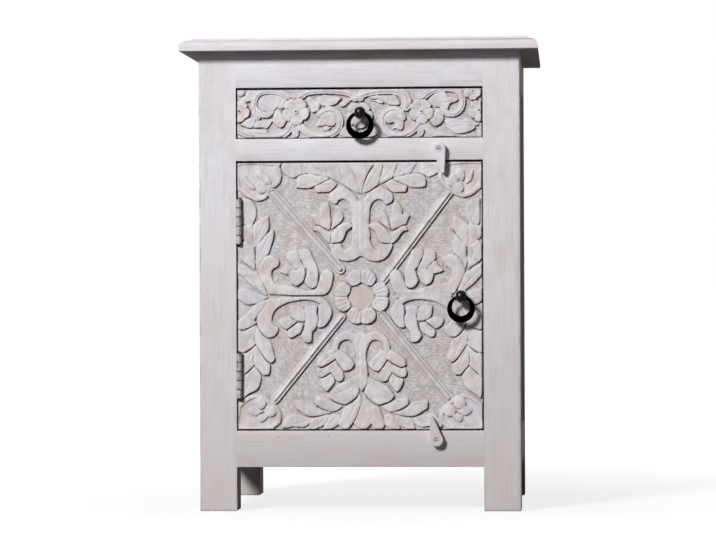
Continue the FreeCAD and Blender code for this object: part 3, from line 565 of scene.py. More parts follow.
def smooth_line(points, closed):
    """A smooth line through the points. A point given twice makes a sharp corner."""
    marks = numpy.array(points, dtype=float)
    if closed:
        ends = numpy.concatenate((marks[-1:], marks, marks[:2]))
    else:
        ends = numpy.concatenate((2 * marks[:1] - marks[1:2], marks, 2 * marks[-1:] - marks[-2:-1]))
    tension = 0.42
    pieces = 6
    start, end = ends[1:-2], ends[2:-1]
    leave, arrive = tension * (end - ends[:-3]), tension * (ends[3:] - start)
    t = numpy.linspace(0, 1, pieces, endpoint=False)[:, None, None]
    line = (start * (2 * t ** 3 - 3 * t ** 2 + 1) + leave * (t ** 3 - 2 * t ** 2 + t)
            + end * (3 * t ** 2 - 2 * t ** 3) + arrive * (t ** 3 - t ** 2))
    line = line.transpose(1, 0, 2).reshape(-1, 2)
    return line if closed else numpy.concatenate((line, marks[-1:]))


def nearest(start, end, across, up):
    """How far points are from a row of straight runs, and which run and which share of it is nearest."""
    run = end - start
    x = across[..., None] - start[:, 0]
    y = up[..., None] - start[:, 1]
    share = (x * run[:, 0] + y * run[:, 1]) / numpy.maximum((run ** 2).sum(1), 1e-9)
    share = share.clip(0, 1)
    away = numpy.hypot(x - share * run[:, 0], y - share * run[:, 1])
    which = away.argmin(-1)[..., None]
    closest = numpy.take_along_axis(away, which, -1)[..., 0]
    closest_share = numpy.take_along_axis(share, which, -1)[..., 0]
    return closest, which[..., 0], closest_share


def depth_inside(outline, across, up):
    """How far points lie inside a closed line, with less than nothing outside it."""
    start, end = outline, numpy.roll(outline, -1, axis=0)
    away, _, _ = nearest(start, end, across, up)
    level = up[..., None]
    passes = (start[:, 1] > level) != (end[:, 1] > level)
    rise = numpy.where(end[:, 1] == start[:, 1], 1e-9, end[:, 1] - start[:, 1])
    crossing = start[:, 0] + (end[:, 0] - start[:, 0]) * (level - start[:, 1]) / rise
    inside = (passes & (across[..., None] < crossing)).sum(-1) % 2 == 1
    return numpy.where(inside, away, -away)


def wall(depth):
    """The steep side of a form: from none of its height just outside its outline to all of it just inside."""
    share = ((depth + WALL) / (2 * WALL)).clip(0, 1)
    return share * share * (3 - 2 * share)


def carve_form(relief, low, high, outline, root=None, rim=None):
    """A leaf, petal or scroll: nearly flat on top, rising from its root to its far end, with steep walls.
    Inside a rim of a given width it is sunk."""
    line = smooth_line(outline, True)
    root = outline[0] if root is None else root
    part, across, up = relief.window(line, WALL)
    depth = depth_inside(line, across, up)
    reach = numpy.hypot(*(line - root).T).max()
    share = (numpy.hypot(across - root[0], up - root[1]) / reach).clip(0, 1)
    shoulder = (depth / SHOULDER).clip(0, 1)
    top = (low + (high - low) * share) * (1 - CROWN * (1 - shoulder) ** 2)
    if rim:
        sunk = 1.6
        top -= sunk * wall(depth - rim)
    relief.raise_to(part, top * wall(depth))


def carve_band(relief, widths, height, points):
    """A ribbon of a given width at its two ends, with a groove inside each edge."""
    line = smooth_line(points, False)
    part, across, up = relief.window(line, max(widths))
    away, which, share = nearest(line[:-1], line[1:], across, up)
    half = numpy.interp((which + share) / (len(line) - 1), (0, 1), widths) / 2
    out = (away / half).clip(0, 1)
    groove = 0.22
    top = 1 - CROWN * out ** 2 - groove * numpy.exp(-((out - GROOVE_AT) / 0.15) ** 2)
    relief.raise_to(part, height * top * wall(half - away))


def carve_rib(relief, width, groove, height, points):
    """A straight rib with a ridge along its middle and a groove beside it on each side. The groove's depth is
    a share of the rib's height."""
    line = smooth_line(points, False)
    part, across, up = relief.window(line, width)
    away, _, _ = nearest(line[:-1], line[1:], across, up)
    out = 2 * away / width
    ridge = numpy.maximum(1 - 0.6 * out, 0.62)
    top = ridge - groove * numpy.exp(-((out - GROOVE_AT) / 0.13) ** 2)
    relief.raise_to(part, height * top * wall(width / 2 - away))


def carve_ball(relief, centre, radius, height, squat=0.45, drilled=0.0):
    """A round knob, with a hole drilled in its middle where drilled gives the hole's radius."""
    part, across, up = relief.window(numpy.array([centre]), radius)
    away = numpy.hypot(across - centre[0], up - centre[1])
    relief.raise_to(part, height * (1 - (away / radius) ** 2).clip(0, 1) ** squat)
    if drilled:
        relief.heights[part] -= 0.6 * height * numpy.exp(-(away / drilled) ** 4)


def score(relief, width, depth, points):
    """A groove cut along a line."""
    line = smooth_line(points, False)
    part, across, up = relief.window(line, 3 * width)
    away, _, _ = nearest(line[:-1], line[1:], across, up)
    relief.heights[part] -= depth * numpy.exp(-(away / width) ** 2)


def point_at(centre, reach, angle):
    """The point at a reach from a centre, in a direction given in degrees."""
    way = math.radians(angle)
    return centre[0] + reach * math.cos(way), centre[1] + reach * math.sin(way)


def carve_flower(relief, centre, size):
    """A dished flower of five broad petals round a drilled knob, set off from the vine by a groove."""
    petals = 5
    turn = -86
    outline = []
    around = []
    for index in range(petals * 10):
        angle = 360 * index / (petals * 10)
        reach = size * (14.6 + 2.8 * abs(math.cos(math.radians(petals * angle / 2))) ** 0.6)
        outline.append(point_at(centre, reach, angle + turn))
        around.append(point_at(centre, reach + 1, angle + turn))
    carve_form(relief, 3.2, 5.7, outline, centre)
    score(relief, 0.8, 1.2, around + around[:1])
    for index in range(petals):
        between = turn + 360 * (index + 0.5) / petals
        score(relief, 0.9, 0.9, [point_at(centre, size * reach, between) for reach in (8, 12, 15)])
    carve_ball(relief, centre, radius=5.6 * size, height=5.6, drilled=1.3)


def carve_rosette(relief, centre):
    """Four double petals with flutes, round a low disc that their inner ends overhang. Half of a petal is
    drawn, as reach and angle."""
    half = [(33.4, 0), (35, 10), (35.2, 20), (33.4, 31), (29, 40), (24, 43.5), (19, 44), (17.6, 38),
            (15.6, 22.5), (17.6, 6), (18.2, 0)]
    whole = half + [(reach, -angle) for reach, angle in reversed(half)]
    for turn in (0, 90, 180, 270):
        petal = [point_at(centre, reach, turn + angle) for reach, angle in whole]
        carve_form(relief, 3.4, 5.6, petal, centre)
    for index in range(32):
        deep = 1.5 if index % 8 == 0 else 0.7
        if index % 8 != 4:
            score(relief, 0.9, deep, [point_at(centre, reach, index * 11.25) for reach in (20, 26, 33)])
    carve_ball(relief, centre, radius=16, height=1.2, squat=0.2)


def carve_veins(relief, forms):
    """A shallow groove along each leaf, from near its root towards its tip."""
    for _, _, outline, *root in forms:
        start = numpy.array(root[0] if root else outline[0])
        points = numpy.array(outline)
        tip = points[numpy.hypot(*(points - start).T).argmax()]
        score(relief, 0.8, 0.5, [start + (tip - start) * share for share in (0.25, 0.5, 0.82)])


def mirrored(forms, axis):
    """The same forms for the right-hand half, a little off, as when the same hand carves them again."""
    def other_side(point):
        across, up = point
        return (2 * axis - across + 0.7 * math.sin(0.043 * up + 1), up + 0.6 * math.sin(0.051 * across))
    copies = []
    for low, high, outline, *root in forms:
        copies.append((low, high, [other_side(point) for point in outline], *map(other_side, root)))
    return copies


def finish_relief(relief):
    """Turns steps into millimetres, adds the small rise and fall that a hand-held chisel leaves, and eases
    the panel's edges. Nothing comes above the front of the board."""
    across, up = numpy.meshgrid(relief.across, relief.up)
    uneven = (0.1 * numpy.sin(0.31 * across + 0.7 * numpy.sin(0.11 * up)) * numpy.sin(0.27 * up + 0.4)
              + 0.06 * numpy.sin(0.83 * across - 0.52 * up) + 0.05 * numpy.sin(0.61 * across + 0.94 * up + 1))
    heights = (STEP * relief.heights + 0.2 + uneven).clip(0, RELIEF - 0.02)
    inset = numpy.minimum(relief.across[-1] - numpy.abs(across), relief.up[-1] - numpy.abs(up))
    relief.heights = heights * (inset / 0.8).clip(0.2, 1)


def carved_face(panel, relief, kept):
    """The carved front as a mesh, thinned to the share of its faces that is kept."""
    rows, columns = (count - 1 for count in relief.heights.shape)
    middle = (panel.low + panel.high) / 2
    across, up, heights = (values.tolist() for values in (relief.across, relief.up, relief.heights))
    bm = bmesh.new()
    bmesh.ops.create_grid(bm, x_segments=columns, y_segments=rows, size=0.5)
    for vert in bm.verts:
        column = round((vert.co.x + 0.5) * columns)
        row = round((vert.co.y + 0.5) * rows)
        vert.co = (middle.x + across[column] * MM, panel.ground - heights[row][column] * MM,
                   middle.z + up[row] * MM)
    inside = []
    for face in bm.faces:
        centre = face.calc_center_median()
        if any(centre.x < high.x and low.z < centre.z < high.z for low, high in panel.notches):
            inside.append(face)
    bmesh.ops.delete(bm, geom=inside, context="FACES")
    carving = object_of("carving", bm)
    mesh = carving.data
    carving.modifiers.new("thinner", "DECIMATE").ratio = kept
    thinned = bpy.data.meshes.new_from_object(carving.evaluated_get(bpy.context.evaluated_depsgraph_get()))
    bm = bmesh.new()
    bm.from_mesh(thinned)
    bpy.data.objects.remove(carving)
    bpy.data.meshes.remove(mesh)
    bpy.data.meshes.remove(thinned)
    return bm


def make_carved_board(name, panel, relief, kept, split, back_low, back_high, material, body, node):
    """A board with the carved front, straight sides and a flat layer behind."""
    finish_relief(relief)
    bm = carved_face(panel, relief, kept)
    straight_x = [panel.low.x, panel.high.x] + [high.x for _, high in panel.notches]
    straight_z = [panel.low.z, panel.high.z] + [corner.z for notch in panel.notches for corner in notch]
    border = [edge for edge in bm.edges if edge.is_boundary]
    # Points on the border get brown in the carved finish: wear, and painted shadow of the gap around the
    # board
    layer = bm.verts.layers.float.new("edge")
    near = 0.3 * MM
    for vert in {vert for edge in border for vert in edge.verts}:
        vert[layer] = 1
        x = min(straight_x, key=lambda line: abs(line - vert.co.x))
        z = min(straight_z, key=lambda line: abs(line - vert.co.z))
        if abs(x - vert.co.x) < near:
            vert.co.x = x
        if abs(z - vert.co.z) < near:
            vert.co.z = z
    sides = bmesh.ops.extrude_edge_only(bm, edges=border)["geom"]
    for item in sides:
        if isinstance(item, bmesh.types.BMVert):
            item.co.y = split
    behind = [item for item in sides if isinstance(item, bmesh.types.BMEdge) and item.is_boundary]
    bmesh.ops.edgeloop_fill(bm, edges=behind)
    add_block(bm, back_low, back_high)
    bmesh.ops.recalc_face_normals(bm, faces=bm.faces[:])
    finish_piece(name, bm, material, body, [node], crease=75)


# Door carving, left-hand half: height at the root, height at the far end, outline, and the root where it
# isn't the outline's first point
TOP_TREE = [
    (2.0, 4.4, [(-61.5, 155), (-65, 162), (-69, 170), (-90, 171), (-99, 166), (-98, 158), (-92, 153),
                (-86, 150), (-82, 150), (-76, 153.5), (-68, 155.5)]),
    (2.2, 4.4, [(-38, 151), (-45, 151), (-52, 153.5), (-61, 155), (-65, 162), (-69, 171), (-44, 171),
                (-43, 165), (-41, 159)]),
    (2.2, 4.4, [(-20, 142), (-28, 145), (-38, 151), (-41, 159), (-43.5, 165), (-44, 171), (-26, 171),
                (-25, 163), (-22.5, 152)]),
    (2.4, 4.8, [(0, 130), (-8, 133), (-14, 137), (-20, 142), (-22.5, 152), (-25, 163), (-25.5, 171),
                (-18, 171), (-12, 163), (-7, 155), (-3, 146), (-0.5, 137)]),
    (2.4, 4.8, [(-38, 149), (-46, 151.5), (-54, 153.5), (-60, 154.5), (-68, 155), (-76, 153), (-80, 148),
                (-80, 137.5), (-80, 137.5), (-72, 136.5), (-62, 137), (-56, 139.5), (-50, 142.5),
                (-44, 145.5)]),
    (2.8, 5.0, [(-28, 143), (-36, 148), (-44, 145), (-50, 142), (-56.5, 138.5), (-54.5, 131.8), (-48, 131.5),
                (-41, 131.3), (-36, 133), (-31, 138)]),
    (3.6, 4.4, [(4, 118), (0, 120), (-2, 123), (-6, 128), (-12, 134), (-18, 138), (-24, 138.5), (-30, 136),
                (-33, 134), (-38, 130), (-39, 122), (-36, 118.5), (-31, 116.3), (-28, 117.5), (-26, 121),
                (-21, 122.7), (-16, 121.3), (-12, 117), (-10, 110), (-9.5, 100), (-9, 88),
                (-9.5, 75), (5, 75)]),
    (3.8, 4.6, [(5.5, 54), (-1, 49), (-7, 45.3), (-14, 43.8), (-21, 44.3), (-27, 46.8), (-32, 51), (-36, 57),
                (-38.5, 64), (-37, 66.5), (-32, 66), (-24, 66.5), (-22, 62), (-18, 59), (-13, 62), (-10, 70),
                (-9.5, 80), (5.5, 80)]),
    (4.4, 5.6, [(-36, 67), (-33, 66.7), (-24, 68), (-20, 72), (-17.5, 78), (-16, 82), (-12, 85), (-8.5, 88),
                (-10, 91.5), (-14, 93.3), (-20, 93), (-25, 90.5), (-30, 86.5), (-34, 81), (-36.5, 74)]),
    (4.2, 5.2, [(-36, 67), (-39, 67), (-42, 69), (-46, 73), (-50, 79), (-54, 82), (-58, 83), (-55.5, 88.5),
                (-50, 88.5), (-44, 84.5), (-38, 81.5), (-34, 81), (-36.5, 74)]),
    (2.8, 4.4, [(-44, 86), (-50, 89), (-56, 91), (-58, 96), (-60.5, 102), (-55, 104.5), (-50.5, 103),
                (-48, 96)]),
    (3.2, 4.6, [(-38, 84), (-46, 88), (-50, 95), (-51, 104), (-50, 112), (-47, 117), (-43, 119.5), (-39, 118),
                (-37, 110), (-36.5, 100), (-36, 92)]),
    (3.0, 4.4, [(-36, 85), (-30, 88), (-25, 92), (-21, 97), (-20, 101), (-22, 106), (-26, 107), (-30, 105),
                (-33, 97)]),
]
SIDE_TREE_ABOVE = [
    (2.2, 5.0, [(-136, 89), (-141, 90.5), (-149, 92), (-149, 118), (-148.5, 124), (-143, 124.5), (-136, 121),
                (-131.5, 113), (-131, 106), (-132, 99), (-135, 93)]),
    (2.2, 5.2, [(-135.5, 63), (-135.5, 76), (-135.5, 89), (-129, 96), (-122, 100.5), (-116.5, 101.5),
                (-115, 96), (-115, 86), (-118, 79.5), (-125, 71), (-131, 62.5)]),
    (2.2, 4.8, [(-135.5, 62), (-140, 66), (-146, 71), (-151, 75), (-151, 88), (-141, 90.5), (-135.5, 89),
                (-135.5, 76)]),
    (2.4, 5.2, [(-133, 43), (-131.8, 52), (-131.5, 62), (-125, 70.5), (-118, 79), (-110, 84.5), (-108.5, 80),
                (-109.5, 72), (-112.5, 63), (-115.5, 54), (-121, 49), (-126, 42.5), (-129.5, 34)]),
    (2.4, 5.0, [(-133.5, 34), (-133, 43), (-133, 52), (-134.5, 62), (-140, 66), (-146, 71), (-150, 67),
                (-155, 62), (-153.5, 54), (-150, 45.5), (-144, 41), (-138, 37)]),
    (2.4, 5.2, [(-118, 1), (-121, 11), (-125, 20), (-130, 30), (-136, 32), (-142, 37.5), (-149, 41.5),
                (-157, 43), (-157, 31.5), (-148, 24), (-141, 16), (-133, 9.5), (-125, 4)]),
    (2.2, 4.6, [(-117, -1), (-127, 3), (-138, 8), (-148, 10), (-157, 5), (-157, -2), (-150, -7), (-142, -11),
                (-130, -9), (-118, -3)]),
    (3.6, 4.6, [(-116, 3), (-121, 12), (-125, 20), (-129.5, 31), (-126, 42), (-121, 49), (-116, 52),
                (-110, 51.5), (-105, 49), (-102, 46), (-102, 42), (-103.5, 38), (-106, 36), (-109, 34.5),
                (-111.5, 31), (-111.5, 24), (-108, 17), (-100, 14.5), (-90, 13.5), (-75, 10), (-66, 7),
                (-56, 9.5), (-52.5, 17), (-50, 26), (-46, 32), (-40, 33.5), (-35, 31), (-33.2, 26), (-34, 19),
                (-36, 11.5), (-40, 4.5), (-46.5, 0.8), (-60, 0.5), (-80, 0.5), (-100, 1.5), (-112, 2)]),
    (4.4, 5.6, [(-73, 60), (-66, 60), (-62, 57), (-60, 51), (-57, 45), (-54, 38), (-52, 29), (-52.5, 22),
                (-53, 15), (-55, 11), (-60, 9.3), (-64, 10.5), (-68, 14), (-70, 19), (-68, 26), (-66.5, 33),
                (-70, 36), (-73, 43), (-76.5, 50), (-77.5, 57)], (-70, 58)),
    (3.4, 4.6, [(-69, 33.5), (-74, 33), (-81, 34), (-85, 38), (-90, 43), (-93, 47), (-92, 55), (-86, 57.5),
                (-79, 57.5), (-77, 52), (-74, 44)]),
    (4.0, 4.8, [(-81.5, 34), (-86, 39), (-91.5, 44), (-96, 38), (-102, 31.5), (-97, 28.5), (-89.5, 27),
                (-88, 30.5)]),
    (4.2, 5.2, [(-70, 33), (-74, 33.5), (-82, 33.5), (-89, 30.5), (-89.5, 25), (-88, 19), (-85, 15),
                (-80, 12.5), (-76.5, 14.5), (-73, 17), (-71, 20), (-69, 27)], (-74, 33)),
]
SIDE_TREE_BELOW = [
    (2.2, 5.0, [(-117, -4), (-118, -9.5), (-124, -17), (-130.5, -26), (-134, -31.5), (-130.5, -33.6),
                (-135, -37), (-141.5, -40.5), (-149.5, -43.2), (-157, -41), (-157, -33), (-150, -27),
                (-141, -18.5), (-131, -9)]),
    (3.4, 4.8, [(-117, -4), (-100, -1.5), (-80, -0.8), (-60, -0.5), (-50, -1), (-46.5, -2.7), (-41, -6.8),
                (-37.5, -11.4), (-35.2, -17), (-35.2, -23.2), (-37.4, -29.5), (-41, -35), (-45.2, -39),
                (-49.3, -40.5), (-54, -39.5), (-52.5, -30), (-53, -21), (-52, -13), (-50.2, -10.5),
                (-54, -8.2), (-59.3, -6.4), (-65.7, -5.3), (-73, -5.2), (-81, -6.4), (-90.3, -8.2),
                (-98.5, -11.8), (-105.8, -16.4), (-110, -22.3), (-111.5, -28), (-111.3, -34), (-107, -38),
                (-103.5, -40), (-103.5, -43.6), (-105.8, -48.2), (-109.5, -51.8), (-114, -53),
                (-118.6, -52.3), (-122.2, -49.5), (-126.8, -44), (-130, -37.7), (-131, -32), (-130.5, -26),
                (-124, -17), (-118, -9.5)]),
    (4.2, 5.6, [(-69, -14), (-62, -12), (-54, -13), (-54.3, -21.4), (-52.5, -28.6), (-53.4, -35),
                (-55.7, -41), (-59.8, -46), (-60.7, -52.3), (-61.2, -58.2), (-64, -59.5), (-69.4, -59),
                (-72.5, -56.4), (-75.5, -51), (-71.5, -43), (-69.5, -33), (-68, -26), (-70, -18)],
     (-66, -13)),
    (3.4, 4.6, [(-87.5, -13), (-88, -20.5), (-86.5, -27), (-82, -31), (-76, -32.5), (-69.5, -32), (-68, -26),
                (-70, -17), (-78, -11.5)], (-70, -32)),
    (3.6, 4.8, [(-103, -31), (-102, -36), (-98.5, -40), (-93.5, -42.7), (-90, -41), (-85, -37), (-80, -33),
                (-83, -30.5), (-88.5, -28), (-95, -27.5), (-101, -29)], (-80, -33)),
    (3.6, 4.8, [(-92, -44), (-92, -51), (-88.5, -53.6), (-84, -52.3), (-79.5, -49.5), (-76, -48), (-73, -42),
                (-72, -35.5), (-78, -34), (-84.5, -38)], (-74, -35)),
    (2.4, 5.0, [(-157, -43), (-149.5, -44), (-141.5, -41), (-135, -37.5), (-131.5, -38), (-133, -48),
                (-134, -56), (-132.8, -61.5), (-138.5, -66.5), (-146, -71), (-150, -72.3), (-157, -66)],
     (-131.5, -38)),
    (2.4, 5.2, [(-131, -39), (-127, -45), (-122, -51), (-117, -54), (-113.5, -58), (-111, -65), (-109.5, -72),
                (-108, -80), (-110, -83.5), (-113, -85), (-116.5, -83.5), (-120.5, -79.5), (-125.5, -72.5),
                (-130.3, -65), (-132.5, -61.5), (-134, -52)]),
    (2.4, 4.8, [(-151, -73), (-145, -72), (-138.5, -67.5), (-133, -62.5), (-134.5, -72), (-136, -80),
                (-134.8, -87.5), (-138.5, -92), (-144.5, -97.5), (-151, -102)], (-133, -62.5)),
    (2.4, 5.2, [(-133, -63), (-130.3, -66), (-125.5, -73.5), (-120.5, -80.5), (-116.5, -84.5), (-114, -86),
                (-114, -93), (-115, -98.7), (-117.5, -100.7), (-122.5, -100.7), (-125.5, -98.7), (-130, -93),
                (-134.5, -88), (-135.5, -78)]),
    (2.4, 5.2, [(-134.8, -89), (-130, -94), (-126, -99.5), (-125.5, -104), (-126.9, -110.5), (-128.8, -116.4),
                (-132.3, -120), (-137.2, -122.3), (-143, -125.7), (-148.5, -129.5), (-151, -116),
                (-151, -103), (-144.5, -98.5), (-138.5, -93)]),
]
BOTTOM_TREE = [
    (3.8, 4.4, [(4, -52), (-6.3, -47.5), (-12.7, -44.5), (-20, -44.5), (-26, -47.5), (-31, -53), (-34, -60),
                (-35, -67), (-33, -72), (-28, -70), (-26.5, -63.3), (-24.9, -60), (-21, -57), (-17, -56),
                (-12.7, -56.6), (-9.5, -59.6), (-7, -65), (-4.8, -72.3), (-4.2, -80), (-5.5, -90), (-6, -100),
                (-4, -112), (5, -118)]),
    (3.6, 5.0, [(-55, -86), (-54, -81), (-50, -76.5), (-44, -72), (-37, -68), (-32, -68), (-30, -74),
                (-31, -80), (-38, -85), (-44.5, -88.7), (-49.7, -90.5), (-54.3, -88.5)], (-31, -70)),
    (3.6, 5.2, [(-30, -69), (-24, -69), (-19, -73), (-14, -77), (-9, -82), (-7, -87), (-8, -90), (-10.6, -93),
                (-14.8, -95), (-20.6, -95), (-26.5, -87.5), (-31, -80)]),
    (3.0, 4.8, [(-53, -90), (-55.5, -95.5), (-54.5, -101.5), (-49.7, -103.8), (-44.5, -102), (-39.7, -98.7),
                (-36.5, -97), (-33, -90), (-31.5, -82), (-38, -86.5), (-44.5, -90), (-49.7, -91.8)],
     (-31.5, -82)),
    (3.0, 5.0, [(-31.5, -82), (-26.8, -88.5), (-21.5, -95), (-20.5, -100), (-20.6, -104), (-22.2, -107.7),
                (-26.5, -108.8), (-30.7, -106.7), (-33, -103), (-36.5, -97), (-34, -89)]),
    (3.0, 5.0, [(-50.8, -105.5), (-49.7, -112.5), (-46, -118.8), (-41.8, -121.5), (-37, -116.7),
                (-32.8, -111.4), (-31.7, -107), (-34, -102), (-36.8, -98), (-40, -100), (-45, -103.2)],
     (-36.8, -98)),
    (3.0, 5.2, [(-38.5, -128), (-36, -121), (-30, -114), (-24, -110.5), (-18, -108), (-10, -104), (-5, -103),
                (-2, -112), (-1, -122), (-5, -129), (-11, -134), (-18.5, -138.1), (-26.5, -136.3),
                (-32.8, -133.7)], (-2, -112)),
    (2.4, 4.8, [(-56, -130), (-57, -137), (-53.4, -140), (-46.6, -143.7), (-36, -147.2), (-28, -145),
                (-22, -140), (-26.5, -137.5), (-33, -134.8), (-39, -131.5), (-47, -129.5)], (-22, -140)),
    (2.4, 5.0, [(-81.5, -134), (-81, -143.5), (-76, -146.5), (-72, -149.5), (-66.5, -152.2), (-60, -153.3),
                (-50, -152), (-42, -150), (-36.5, -148), (-46.6, -145), (-54, -141.3), (-58, -137.5),
                (-66, -134.5), (-74, -133)], (-36.5, -148)),
    (2.2, 4.8, [(-100, -167), (-97, -158), (-92, -152.5), (-84, -150), (-75, -151), (-66, -154), (-59, -156),
                (-64, -162), (-70, -166), (-77.5, -167), (-86, -166), (-93, -167.5)], (-59, -156)),
    (2.2, 4.4, [(-60, -155), (-50, -153), (-42, -150.5), (-38, -152), (-40, -158), (-46, -164.5), (-52, -167),
                (-58, -171), (-66, -171), (-64, -162)], (-38, -152)),
    (2.2, 4.4, [(-38, -151), (-30, -149.5), (-25, -152), (-25, -158), (-27, -163.5), (-34, -167.5),
                (-40, -171), (-47, -171), (-46, -165), (-40.5, -158.5)], (-27, -150)),
    (2.4, 5.0, [(2, -131), (0.5, -139), (-2.1, -147.4), (-5.8, -156), (-10.6, -163.3), (-16.9, -171),
                (-22, -171), (-27, -164), (-25, -156), (-22, -147), (-18, -139.5), (-10, -135.5),
                (-4, -130), (-1, -124)], (0, -127)),
]
# Forms without a twin: a leaf above and below the middle, and the stem on the right, which has no seam
SINGLE_FORMS = [
    (3.8, 3.8, [(48, 3), (60, 4), (80, 4), (100, 4), (116, 3), (116, -3), (100, -5), (80, -4), (60, -3.5),
                (48, -3)]),
    (2.0, 4.0, [(1, 130), (-0.5, 137), (-3, 146), (-7, 155), (-12, 163), (-18, 171), (22, 171), (16, 163),
                (11, 155), (7, 146), (4.7, 137), (3.2, 130)], (2.1, 129)),
    (2.2, 4.4, [(2.8, -132), (0.5, -140), (-2, -148), (-6, -157), (-8, -161), (-4, -166), (1, -169.3),
                (6, -169.5), (10, -167.5), (14, -162), (12, -156), (8, -148), (5, -140)]),
]
# Ribs: width, depth of the grooves as a share of the height, and the two ends
RIB_HEIGHT = 5.4
RIBS = [
    (13, 0.4, [(-110, 130.5), (-24.5, 34)]),
    (10.5, 0.14, [(-108, -131.5), (-23, -26.5)]),
    (10.5, 0.14, [(114, 130), (30.5, 20)]),
    (12.5, 0.4, [(112.5, -130), (28, -25.5)]),
]

# Corner medallions: the plain base, the petals on it, and its berries as across, up and radius. The lower
# right one is the lower left one turned over, and the upper right one has that base again
UPPER_LEFT_BASE = [(-157, 171), (-103, 171), (-101, 164), (-99, 158), (-98.5, 152), (-100, 145), (-103, 141),
                   (-107, 138), (-112, 136.5), (-114, 135), (-114.5, 131), (-116, 127), (-119, 123.5),
                   (-124, 121.5), (-131, 120.5), (-138, 123.5), (-145, 127), (-150, 132), (-157, 140)]
UPPER_LEFT_PETALS = [
    (4.0, 5.2, [(-131, 158), (-126, 160.5), (-120, 158), (-114, 150), (-112, 142), (-118, 143), (-125, 148.5),
                (-131, 153)]),
    (4.0, 5.2, [(-146, 155), (-141, 148), (-134, 140), (-133, 135), (-139, 137), (-145, 144)]),
]
UPPER_LEFT_BERRIES = [(-124.5, 138, 8)]
LOWER_LEFT_BASE = [(-157, -171), (-157, -141), (-151, -133), (-143, -127), (-133, -124), (-120, -128),
                   (-112, -134), (-104, -141), (-100.5, -149), (-100, -156), (-102, -162), (-108, -166.5),
                   (-115, -171)]
LOWER_LEFT_PETALS = [
    (4.0, 5.2, [(-142.5, -144.5), (-141, -148.7), (-136, -152), (-131, -152), (-126, -149), (-122, -146),
                (-127, -144.5), (-133, -139.5), (-138, -141)]),
    (4.0, 5.2, [(-131, -152.5), (-130, -157.5), (-127.8, -160.5), (-123.4, -159.5), (-118.5, -155.6),
                (-117.5, -152.5), (-121, -149.5), (-126, -149.5)]),
]
LOWER_LEFT_BERRIES = [(-127, -136.5, 7.8), (-114, -145.8, 8)]
LOWER_RIGHT_BASE = [(-across, up) for across, up in LOWER_LEFT_BASE]
LOWER_RIGHT_PETALS = [(low, high, [(-across, up) for across, up in outline])
                      for low, high, outline in LOWER_LEFT_PETALS]
LOWER_RIGHT_BERRIES = [(-across, up, radius) for across, up, radius in LOWER_LEFT_BERRIES]
UPPER_RIGHT_BASE = [(across, -up) for across, up in LOWER_RIGHT_BASE]
UPPER_RIGHT_PETALS = [
    (4.0, 5.2, [(122, 155.5), (128, 161), (133.5, 158.5), (134, 151.5), (132, 145), (127, 147), (123, 151)]),
    (4.0, 5.2, [(134.5, 141), (142, 145), (145, 153.5), (144, 159.5), (137.5, 151)]),
]
UPPER_RIGHT_BERRIES = [(117.5, 146, 8.4), (125.5, 136.5, 7.6)]

# Drawer carving: the bands of the vine as widths at the two ends, height and line, then the forms that both
# halves share, and those of one half alone
VINE_BANDS = [
    ((9, 8.5), 4.8, [(-81, 20), (-90, 22.5), (-101, 27.5), (-115, 29.5), (-126, 27), (-132.5, 20), (-134, 10),
                     (-132.5, 1), (-129, -4)]),
    ((11, 11), 4.8, [(-158, -18), (-150, -21.5), (-140, -25.5), (-127, -28.5), (-112, -29), (-99, -27),
                     (-91, -21), (-86, -13)]),
    ((9, 9), 4.8, [(-81, 18.5), (-74, 22), (-66, 27), (-52, 29), (-36, 29), (-20, 27.5), (-8, 24), (2, 19)]),
    ((9, 10), 4.8, [(-50, -1), (-45, 3), (-37, 5), (-29, 1.5), (-25, -5), (-24.5, -13), (-28, -21.5),
                    (-36, -26.5), (-47, -29), (-58, -27), (-70, -20), (-77, -14)]),
    ((9, 8), 4.8, [(79, 17), (87, 24), (98, 29.5), (112, 31), (124, 28.5), (130.5, 21), (131.5, 12),
                   (128.5, 4), (121.5, -1), (113, -1), (105.5, 3)]),
    ((8, 11), 4.8, [(122, -33), (109.5, -29), (96.5, -26), (88.5, -20), (83.5, -13)]),
    ((9, 14), 4.8, [(-4.5, 19), (5.5, 24), (17.5, 27.5), (33.5, 29), (47, 28.5), (56, 24), (60, 16),
                    (60, 9)]),
    ((8, 10), 4.8, [(56, -6), (53, 1), (46, 5), (38, 4), (32, -1), (29.5, -8), (31, -17), (37, -24),
                    (46, -28), (57, -27.5), (68, -22), (76, -14)]),
]
VINE_BOTH = [
    (3.0, 5.4, [(-104, 5), (-109, -1), (-110, -9), (-107.6, -13.2), (-105, -15.8), (-100, -18), (-96.8, -17),
                (-94.3, -14.2), (-92, -9), (-94.5, -3), (-98, 1), (-101, 5)]),
    (3.0, 5.0, [(-81, -32), (-85, -27), (-85.5, -22), (-83, -18), (-80.5, -16.5), (-78, -18), (-76, -22),
                (-76.5, -27)]),
    (2.8, 4.4, [(-26, -22), (-22, -18.5), (-16, -17), (-12, -19), (-5, -25), (0, -29), (-8, -31), (-18, -30),
                (-25, -27)]),
]
